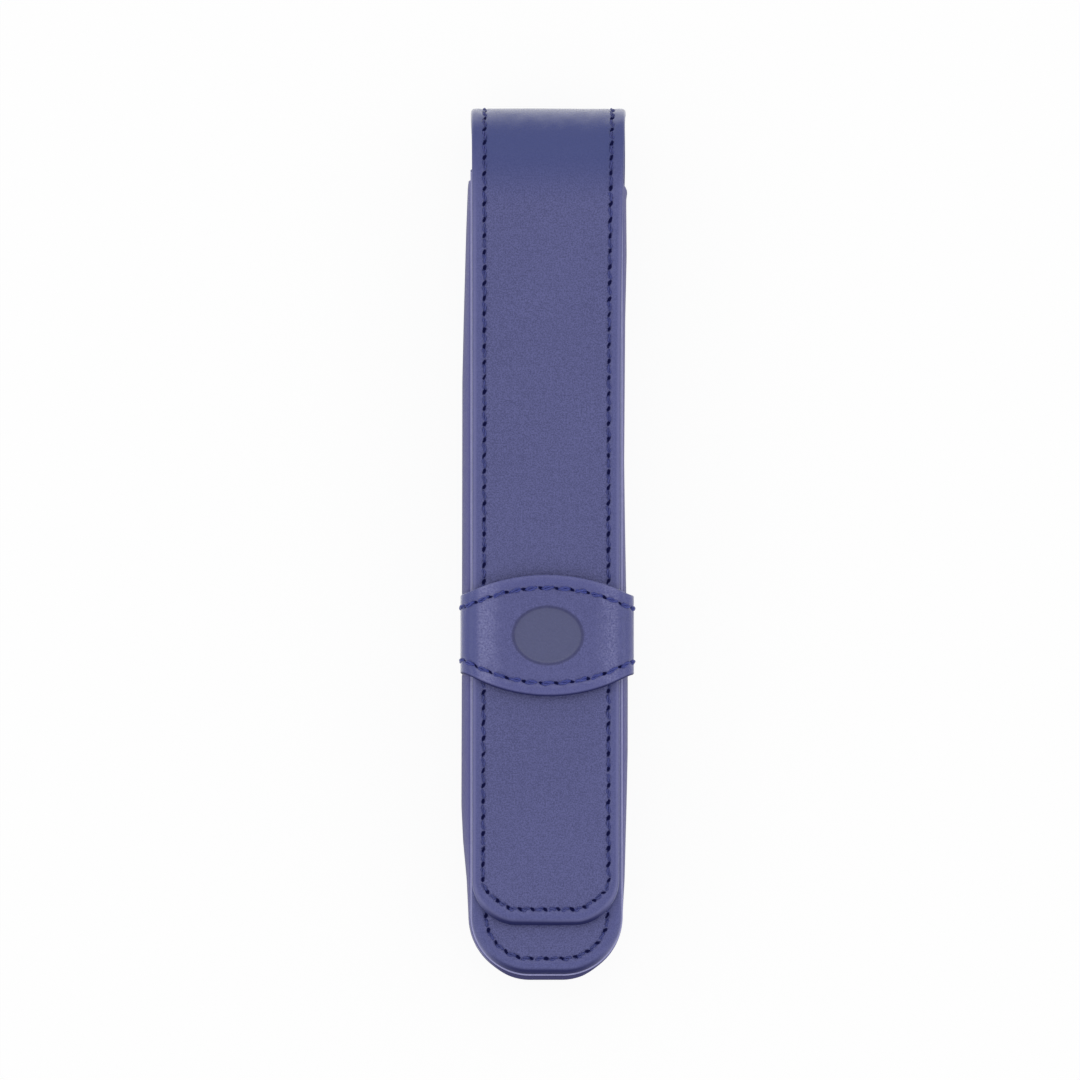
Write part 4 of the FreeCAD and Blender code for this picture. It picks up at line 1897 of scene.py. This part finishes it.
@dataclass
class Gusset:
    """Thin leather wall round both sides and the foot, which swells with use."""

    levels: Levels
    profile: StrapProfile
    foot_radius: float = 11.0
    thickness: float = 0.8
    flange: float = 4.2
    corner: float = 0.5
    fullness: float = 2.4
    stations: int = 561
    wall_steps: int = 17
    notch_half: float = 7.2
    notch_rise: float = 1.3
    notch_ease: float = 0.9
    pinch: float = 0.7
    softness: float = 0.5
    wall_share: float = 0.985
    plain_inset: float = 3.0
    left_swell: tuple[Span, ...] = (
        *((-79.2, 0.75), (-77.5, 0.35), (-68.5, 0.25), (-61.6, 0.58), (-54.3, 1.26), (-48.0, 1.56)),
        *((0.0, 1.44), (30.0, 1.40), (41.0, 1.15), (57.0, 0.71), (65.8, 0.38), (66.8, 0.20)),
    )
    right_swell: tuple[Span, ...] = (
        *((-79.2, 0.75), (-77.5, 0.25), (-68.5, 0.05), (-61.6, 0.48), (-47.0, 0.87), (-38.0, 1.06)),
        *((-25.0, 1.08), (4.0, 0.56), (15.0, 0.42), (41.0, 0.61), (53.0, 0.88), (63.6, 0.80)),
        *((64.5, 1.05), (65.2, 1.00), (65.8, 0.40), (66.8, 0.05)),
    )

    def swell(self, across: Array, along: Array) -> Array:
        """How far the wall stands out.

        Args:
            across: Places across the sleeve.
            along: Places up the sleeve.

        Returns:
            Distances outside the panels' edge.
        """
        sides = []
        for marks in (self.left_swell, self.right_swell):
            places, values = zip(*marks)
            soft = [np.interp(along + step * self.softness, places, values) for step in (-1.0, 0.0, 1.0)]
            sides.append(np.mean(soft, axis=0))
        middle = self.levels.half_width / 2.0
        return mix(*sides, ease(across, -middle, middle))

    def section(self) -> tuple[Array, Array, Array]:
        """One closed ring of the wall and its two flanges.

        Returns:
            Distances inside the panels' edge, shares of the swell, and levels from -1 (back) to 1 (front),
            for the outside and then, backwards, for the inside.
        """
        wall = np.linspace(-1.0, 1.0, self.wall_steps)
        edge = [self.flange, self.corner]
        inset = np.concatenate([edge, np.zeros_like(wall), edge[::-1]])
        inside = np.where(inset < self.flange, inset + self.thickness, inset)
        bow = np.pad(1.0 - np.abs(wall) ** self.fullness, len(edge))
        level = np.concatenate([[-1.0, -1.0], self.wall_share * wall, [1.0, 1.0]])
        pairs = ((inset, inside), (bow, bow), (level, level))
        return tuple(np.concatenate([out, back[::-1]]) for out, back in pairs)

    def build(self) -> None:
        """Makes and dresses the gusset."""
        levels = self.levels
        length = levels.gusset_top - levels.foot
        outline = TongueOutline(levels.half_width, levels.half_width, length, self.foot_radius, 0.0)
        along = np.linspace(0.0, outline.seam_length, self.stations)
        edge_across, edge_down = outline.points(along, 0.0)
        upward = levels.gusset_top - edge_down
        inset, bow, level = self.section()
        near = np.abs(upward - levels.keeper_y)
        held = 1.0 - ease(near, self.notch_half, self.notch_half + self.notch_ease)
        pinched = 1.0 - ease(near, self.notch_half - self.notch_ease, self.notch_half)
        free = self.swell(edge_across, upward)
        swell = mix(free, np.minimum(free, self.pinch), pinched)
        reach = inset - bow * swell[:, None]
        across, down = outline.points(along[:, None], reach)
        low = levels.back_inside + self.notch_rise * held
        high = levels.front_inside - self.profile.drop(upward)
        wall = np.where(np.arange(len(level)) < len(level) // 2, 0.0, self.thickness)
        middle = ((low + high) / 2.0)[:, None]
        half = ((high - low) / 2.0)[:, None] - wall
        shell = Shell("gusset_wall")
        height = middle + half * level
        plain = np.abs(reach) + self.plain_inset
        shell.loft(shell.add(across, levels.gusset_top - down, height, along[:, None], plain, 1.0))
        piece = shell.finish(as_points, [GussetFinish("gusset_grain").make()])
        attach(report(piece, "gusset_leather", "gusset"), "case")


class BandPath(Course):
    """Cross-section of the keeper's outside, from its middle to a tab, by distance from the middle."""

    SAMPLES = 200
    EVEN_SAMPLES = 1600

    def __init__(
        self, half: float, top: float, low: float, bend: float, tab_bend: float, tab_reach: float
    ) -> None:
        """Works out the line.

        Args:
            half: Half width over the sides.
            top: Level of the front.
            low: Level of the tabs' under side.
            bend: Radius of the shoulders.
            tab_bend: Radius where a side turns in under the gusset.
            tab_reach: Distance of a tab's end from the middle.
        """
        turn = np.linspace(0.0, QUARTER, self.SAMPLES)
        cosine, sine = np.cos(turn), np.sin(turn)
        shoulder = np.stack([half - bend + bend * sine, top - bend + bend * cosine], axis=1)
        hook = np.stack([half - tab_bend + tab_bend * cosine, low + tab_bend - tab_bend * sine], axis=1)
        corners = np.vstack([[0.0, top], shoulder, hook, [tab_reach, low]])
        run = distances(corners)
        even = np.linspace(0.0, run[-1], self.EVEN_SAMPLES)
        line = np.stack([np.interp(even, run, column) for column in corners.T], axis=1)
        super().__init__(line, even, way=1.0)
        self.half_length = float(run[-1])
        self.shoulder = half - bend

    def place(self, around: Array, height: Array) -> tuple[Array, Array]:
        """X and Z at distances from the middle, negative to the left, and heights above the outside."""
        across, level = self.at(np.abs(around), height)
        return np.where(around < 0.0, -1.0, 1.0) * across, level


@dataclass(frozen=True)
class BandRow:
    """One row of points along the keeper: an inset from an edge or a share of the field, and its height."""

    side: Side
    place: float
    height: float = 0.0
    skin: Skin = Skin.GRAIN


@dataclass
class Keeper:
    """Barrel-shaped band that the flap slips under, with a plain pressed oval in its middle."""

    levels: Levels
    finishes: Finishes
    seam: Seam = Seam(
        pitch=3.0, channel_depth=0.12, slit_reach=0.52, slit_breadth=0.27, border_crown=0.0
    )
    thread: Thread = Thread(0.22, 0.22, crest=-0.04, visible_share=0.78)
    edge: Edge = Edge(round_over=0.35, under_round=0.3)
    barrel_radius: float = 31.6
    barrel_share: float = 0.9
    barrel_steps: int = 1200
    side_lift: float = 0.06
    drop: float = 0.16
    askew: float = 0.0075
    flatten: Span = (12.0, 18.0)
    bend: float = 3.4
    tab_bend: float = 1.7
    tab_reach: float = 9.75
    stations: int = 241
    field_rows: int = 47
    marked_depth: float = 0.3
    oval_across: float = 6.4
    oval_up: float = 5.3
    oval_depth: float = 0.42
    oval_wall: Span = (0.93, 1.03)
    rim_height: float = 0.06
    rim_place: float = 1.09
    rim_width: float = 0.07
    crease_depth: float = 0.07
    crease_inside: float = 1.2
    crease_width: float = 1.6
    crease_rate: float = 4.2
    crease_wander: float = 0.6
    wander_rate: float = 0.9
    crease_mean: float = 0.6
    fade_rate: float = 1.3
    slack: float = 0.26
    shift: float = 0.16
    crown: float = 0.35
    lining_stations: int = 161
    lining_columns: int = 13
    lining_gap: float = 0.12
    lining_sink: float = 0.01

    def __post_init__(self) -> None:
        """Works out the band's line and the shape of its edges."""
        levels = self.levels
        half = levels.keeper_half - self.slack
        self.path = BandPath(
            half, levels.keeper_top, levels.keeper_low, self.bend, self.tab_bend, self.tab_reach
        )
        run = np.linspace(0.0, self.path.half_length, self.barrel_steps)
        arc = np.minimum(run, self.barrel_share * self.barrel_radius)
        slope = arc / np.sqrt(self.barrel_radius**2 - arc**2) * (1.0 - ease(run, *self.flatten))
        step = run[1] - run[0]
        self.edge_run = run
        self.edge_half = levels.keeper_reach / 2.0 - np.concatenate([[0.0], np.cumsum(slope[:-1] * step)])
        self.seam_run = np.concatenate([[0.0], np.cumsum(np.sqrt(1.0 + slope[:-1] ** 2) * step)])
        self.seam_length = 2.0 * float(self.seam_run[-1])
        self.stitches = round(self.seam_length / self.seam.pitch)
        self.pitch = self.seam_length / self.stitches

    def half_height(self, around: Array) -> Array:
        """Half the band's height at a distance from its middle."""
        return np.interp(np.abs(around), self.edge_run, self.edge_half)

    def seam_at(self, around: Array) -> Array:
        """Distance along a seam, from the left tab, at a distance from the middle."""
        size = np.interp(np.abs(around), self.edge_run, self.seam_run)
        return self.seam_length / 2.0 + np.sign(around) * size

    def around_at(self, along: Array) -> Array:
        """Distance from the middle at a distance along a seam."""
        off = along - self.seam_length / 2.0
        return np.sign(off) * np.interp(np.abs(off), self.seam_run, self.edge_run)

    def place(self, around: Array, up: Array, height: Array) -> Array:
        """Points in space of the band.

        Args:
            around: Distances from the middle.
            up: Distances above the middle.
            height: Heights above the band's outside.

        Returns:
            Rows of X, Y and Z.
        """
        across, level = self.path.place(around, height)
        crown = self.crown * np.clip(1.0 - (around / self.path.shoulder) ** 2, 0.0, 1.0)
        lift = self.side_lift * (self.edge_half[0] - self.half_height(around))
        tilt = lift - self.drop - self.askew * across
        return as_points(across + self.shift, self.levels.keeper_y + up + tilt, level + crown)

    def sewn(self, around: Array, up: Array) -> tuple[Array, Array]:
        """Stitches sewn up to each place of the nearer seam, and how far the nearest slit leans."""
        sewn, lean = hand_sewn(self.seam_at(around) / self.pitch)
        return sewn, np.where(up > 0.0, -lean, lean)

    def relief(self, around: Array, up: Array, inset: Array) -> Array:
        """Heights of the seams, the pressed oval and the creases at the shoulders.

        Args:
            around: Distances from the middle.
            up: Distances above the middle.
            inset: Distances from the nearer edge.

        Returns:
            Heights.
        """
        sewn, lean = self.sewn(around, up)
        seam = self.seam.relief(sewn, inset, lean)
        oval = np.sqrt((around / self.oval_across) ** 2 + (up / self.oval_up) ** 2)
        pressed = self.oval_depth * (1.0 - ease(oval, *self.oval_wall))
        rim = self.rim_height * np.exp(-(((oval - self.rim_place) / self.rim_width) ** 2))
        off = np.abs(around) - self.path.shoulder + self.crease_inside
        bent = self.crease_depth * np.exp(-((off / self.crease_width) ** 2))
        crease = np.sin(self.crease_rate * around + self.crease_wander * np.sin(self.wander_rate * up))
        fade = self.crease_mean + (1.0 - self.crease_mean) * np.sin(self.fade_rate * up + around)
        return seam - pressed + rim + bent * crease * fade

    def rows(self) -> list[BandRow]:
        """Rows round the band's cross-section, from the upper edge's under side to the lower edge's.

        Returns:
            The rows in order.
        """
        thickness = self.levels.keeper_leather + self.levels.keeper_lining
        rows = self.edge.rows(self.seam, self.levels.keeper_leather)
        shares = np.linspace(1.0, -1.0, self.field_rows)[1:-1]
        upper, lower = (
            [BandRow(side, row.inset, row.height - thickness * row.under, row.skin) for row in rows]
            for side in (Side.UPPER, Side.LOWER)
        )
        return [*reversed(upper), *(BandRow(Side.FIELD, float(share)) for share in shares), *lower]

    def band(self) -> Piece:
        """Makes the leather of the band.

        Returns:
            The piece.
        """
        shell = Shell("keeper_leather")
        around = np.linspace(-self.path.half_length, self.path.half_length, self.stations)
        half = self.half_height(around)
        deepest = self.seam.inset + self.edge.seam_offsets[0]
        columns = []
        rows = self.rows()
        for row in rows:
            edge_up = row.side.value * (half - row.place)
            up = row.place * (half - deepest) if row.side is Side.FIELD else edge_up
            inset = half - np.abs(up)
            marked = row.height > -self.marked_depth
            height = row.height + (self.relief(around, up, inset) if marked else 0.0)
            sewn, lean = self.sewn(around, up)
            columns.append(shell.add(around, up, height, sewn, inset, lean))
        rings = np.stack(columns, axis=1)
        for index in range(len(rows)):
            following = (index + 1) % len(rows)
            painted = Skin.PAINT in (rows[index].skin, rows[following].skin)
            pair = np.stack([rings[:, index], rings[:, following]], axis=1)
            shell.net(pair, Skin.PAINT if painted and following else Skin.GRAIN)
        shell.face(rings[0], cap=True)
        shell.face(rings[-1], cap=True)
        grain = KeeperFinish(
            "keeper_grain",
            seam=self.seam,
            shoulder=self.path.shoulder,
            oval_across=self.oval_across,
            oval_up=self.oval_up,
        )
        return shell.finish(self.place, [grain.make(), self.finishes.shaded_paint])

    def lining(self) -> Piece:
        """Makes the thin lining inside the band.

        Returns:
            The piece.
        """
        shell = Shell("keeper_lining_cloth")
        around = np.linspace(-self.path.half_length, self.path.half_length, self.lining_stations)[:, None]
        half = self.half_height(around) - self.edge.lip - self.lining_gap
        leather = self.levels.keeper_leather
        share = np.linspace(-1.0, 1.0, self.lining_columns)
        faces = ((share, leather + self.lining_sink), (share[::-1], leather + self.levels.keeper_lining))
        up = half * np.concatenate([places for places, _ in faces])
        height = np.concatenate([np.full_like(places, -depth) for places, depth in faces])
        shell.loft(shell.add(around, up, height, 0.0, 0.0, 1.0))
        return shell.finish(self.place, [self.finishes.lining])

    def stitching(self, name: str, side: Side) -> Piece:
        """Makes one of the two seams.

        Args:
            name: Name of the piece.
            side: The edge that it follows.

        Returns:
            The stitches.
        """
        way = side.value

        def locate(along: Array, inset: Array, height: Array) -> Array:
            """Points in space of a thread."""
            around = self.around_at(along)
            return self.place(around, way * (self.half_height(around) - inset), height)

        starts = np.arange(1, self.stitches - 1) * self.pitch
        run = StitchRun(locate, self.seam.inset, starts, np.full_like(starts, self.pitch), lean=-way)
        return self.thread.build(name, [run], self.finishes.keeper_thread)

    def build(self) -> None:
        """Makes and dresses every piece of the keeper."""
        pieces = [
            report(self.band(), "keeper_leather", "keeper_band"),
            report(self.lining(), "lining", "keeper_lining"),
            report(self.stitching("keeper_upper_stitching", Side.UPPER), "thread", "keeper_upper_stitches"),
            report(self.stitching("keeper_lower_stitching", Side.LOWER), "thread", "keeper_lower_stitches"),
        ]
        for piece in pieces:
            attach(piece, "case")


def facing(place: Vector, backward: Vector) -> Matrix:
    """Pose of a camera or lamp with the sleeve's length upright in its view.

    Args:
        place: Where it stands.
        backward: Direction from what it faces towards it.

    Returns:
        Its matrix.
    """
    rightward = Vector((0.0, 1.0, 0.0)).cross(backward).normalized()
    upward = backward.cross(rightward)
    turn = Matrix((rightward, upward, backward)).transposed()
    return Matrix.Translation(place) @ turn.to_4x4()


@dataclass(frozen=True)
class Lamp:
    """One soft box: its place, width and height in millimetres, and its power in watts."""

    name: str
    place: tuple[float, float, float]
    size: Span
    power: float

    def build(self) -> None:
        """Sets the box up, turned towards the sleeve."""
        data = bpy.data.lights.new(self.name, "AREA")
        data.shape = "RECTANGLE"
        data.size, data.size_y = (side * MM for side in self.size)
        data.energy = self.power
        lamp = bpy.data.objects.new(self.name, data)
        place = Vector(self.place)
        lamp.matrix_world = facing(place * MM, place.normalized())
        bpy.context.scene.collection.objects.link(lamp)


@dataclass
class Studio:
    """White seamless floor, soft light from both sides and above, and the camera."""

    view_width: float = 197.94
    distance: float = 2400.0
    focus_level: float = 12.0
    from_left: float = math.radians(1.0)
    from_below: float = math.radians(1.0)
    shift_right: float = 1.15
    shift_up: float = -0.73
    sensor: float = 36.0
    floor_gap: float = 0.4
    floor_size: float = 9000.0
    floor_white: float = 0.92
    floor_glow: float = 0.92
    dome: float = 0.64
    dome_tilt: float = 0.08
    dome_ends: float = 0.9
    lamps: tuple[Lamp, ...] = (
        Lamp("left_box", (-700.0, 0.0, 520.0), (260.0, 1000.0), 0.9),
        Lamp("right_box", (700.0, 0.0, 520.0), (260.0, 1000.0), 0.9),
        Lamp("top_box", (0.0, 350.0, 950.0), (500.0, 300.0), 0.5),
    )

    def floor(self) -> None:
        """Pale floor that shows white to the camera and keeps a faint shadow."""
        shell = Shell("floor")
        reach = self.floor_size / 2.0
        corners = np.array([[-reach, -reach], [reach, -reach], [reach, reach], [-reach, reach]])
        shell.face(shell.add(corners[:, 0], corners[:, 1], -self.floor_gap, 0.0, 0.0, 1.0))
        canvas = Canvas("white_floor")
        shine = canvas.node("ShaderNodeEmission", {}, {"Color": (1.0, 1.0, 1.0, 1.0), "Strength": 1.0})
        matt = canvas.node("ShaderNodeBsdfDiffuse", {}, {"Color": (*[self.floor_white] * 3, 1.0)})
        seen = ("Is Camera Ray", "Is Glossy Ray", "Is Transmission Ray")
        camera, glossy, clear = (canvas.node("ShaderNodeLightPath", {}, {}, ray) for ray in seen)
        white = canvas.surface(canvas.mixed((camera + glossy + clear) * self.floor_glow, matt, shine))
        floor = shell.finish(as_points, [white])

    def world(self) -> None:
        """Even white surroundings, white to the camera and dimmer as a light."""
        world = bpy.data.worlds.new("studio")
        bpy.context.scene.world = world
        world.use_nodes = True
        canvas = Canvas("studio", world.node_tree)
        camera = canvas.node("ShaderNodeLightPath", {}, {}, "Is Camera Ray")
        way = canvas.node("ShaderNodeTexCoord", {}, {}, "Generated")
        upward = way.part("Y")
        glow = self.dome + upward * self.dome_tilt + upward * upward * self.dome_ends
        share = glow * (1.0 - camera) + camera
        shade = canvas.blend(share, (0.0, 0.0, 0.0), (1.0, 1.0, 1.0))
        sky = canvas.node("ShaderNodeBackground", {}, {"Color": shade, "Strength": 1.0})
        canvas.node("ShaderNodeOutputWorld", {}, {0: sky})

    def camera(self) -> None:
        """Camera above the front, a touch to the left and below the middle."""
        data = bpy.data.cameras.new("camera")
        data.sensor_width = self.sensor
        data.lens = self.sensor * self.distance / self.view_width
        camera = bpy.data.objects.new("camera", data)
        target = Vector((-self.shift_right, -self.shift_up, self.focus_level))
        way = Vector((-math.sin(self.from_left), -math.sin(self.from_below), 1.0)).normalized()
        camera.matrix_world = facing((target + way * self.distance) * MM, way)
        bpy.context.scene.collection.objects.link(camera)
        bpy.context.scene.camera = camera

    def build(self) -> None:
        """Sets up the whole studio."""
        self.floor()
        self.world()
        for lamp in self.lamps:
            lamp.build()
        self.camera()
        bpy.context.scene.view_settings.view_transform = "Standard"


def main() -> None:
    """Builds the sleeve and the studio round it."""
    logging.basicConfig(level=logging.INFO, format="%(name)s: %(message)s")
    levels = Levels()
    finishes = Finishes()
    profile = StrapProfile(levels)
    Strap(levels, finishes, profile).build()
    PouchFront(levels, finishes, profile).build()
    Gusset(levels, profile).build()
    Keeper(levels, finishes).build()
    Studio().build()


if __name__ == "__main__":
    main()
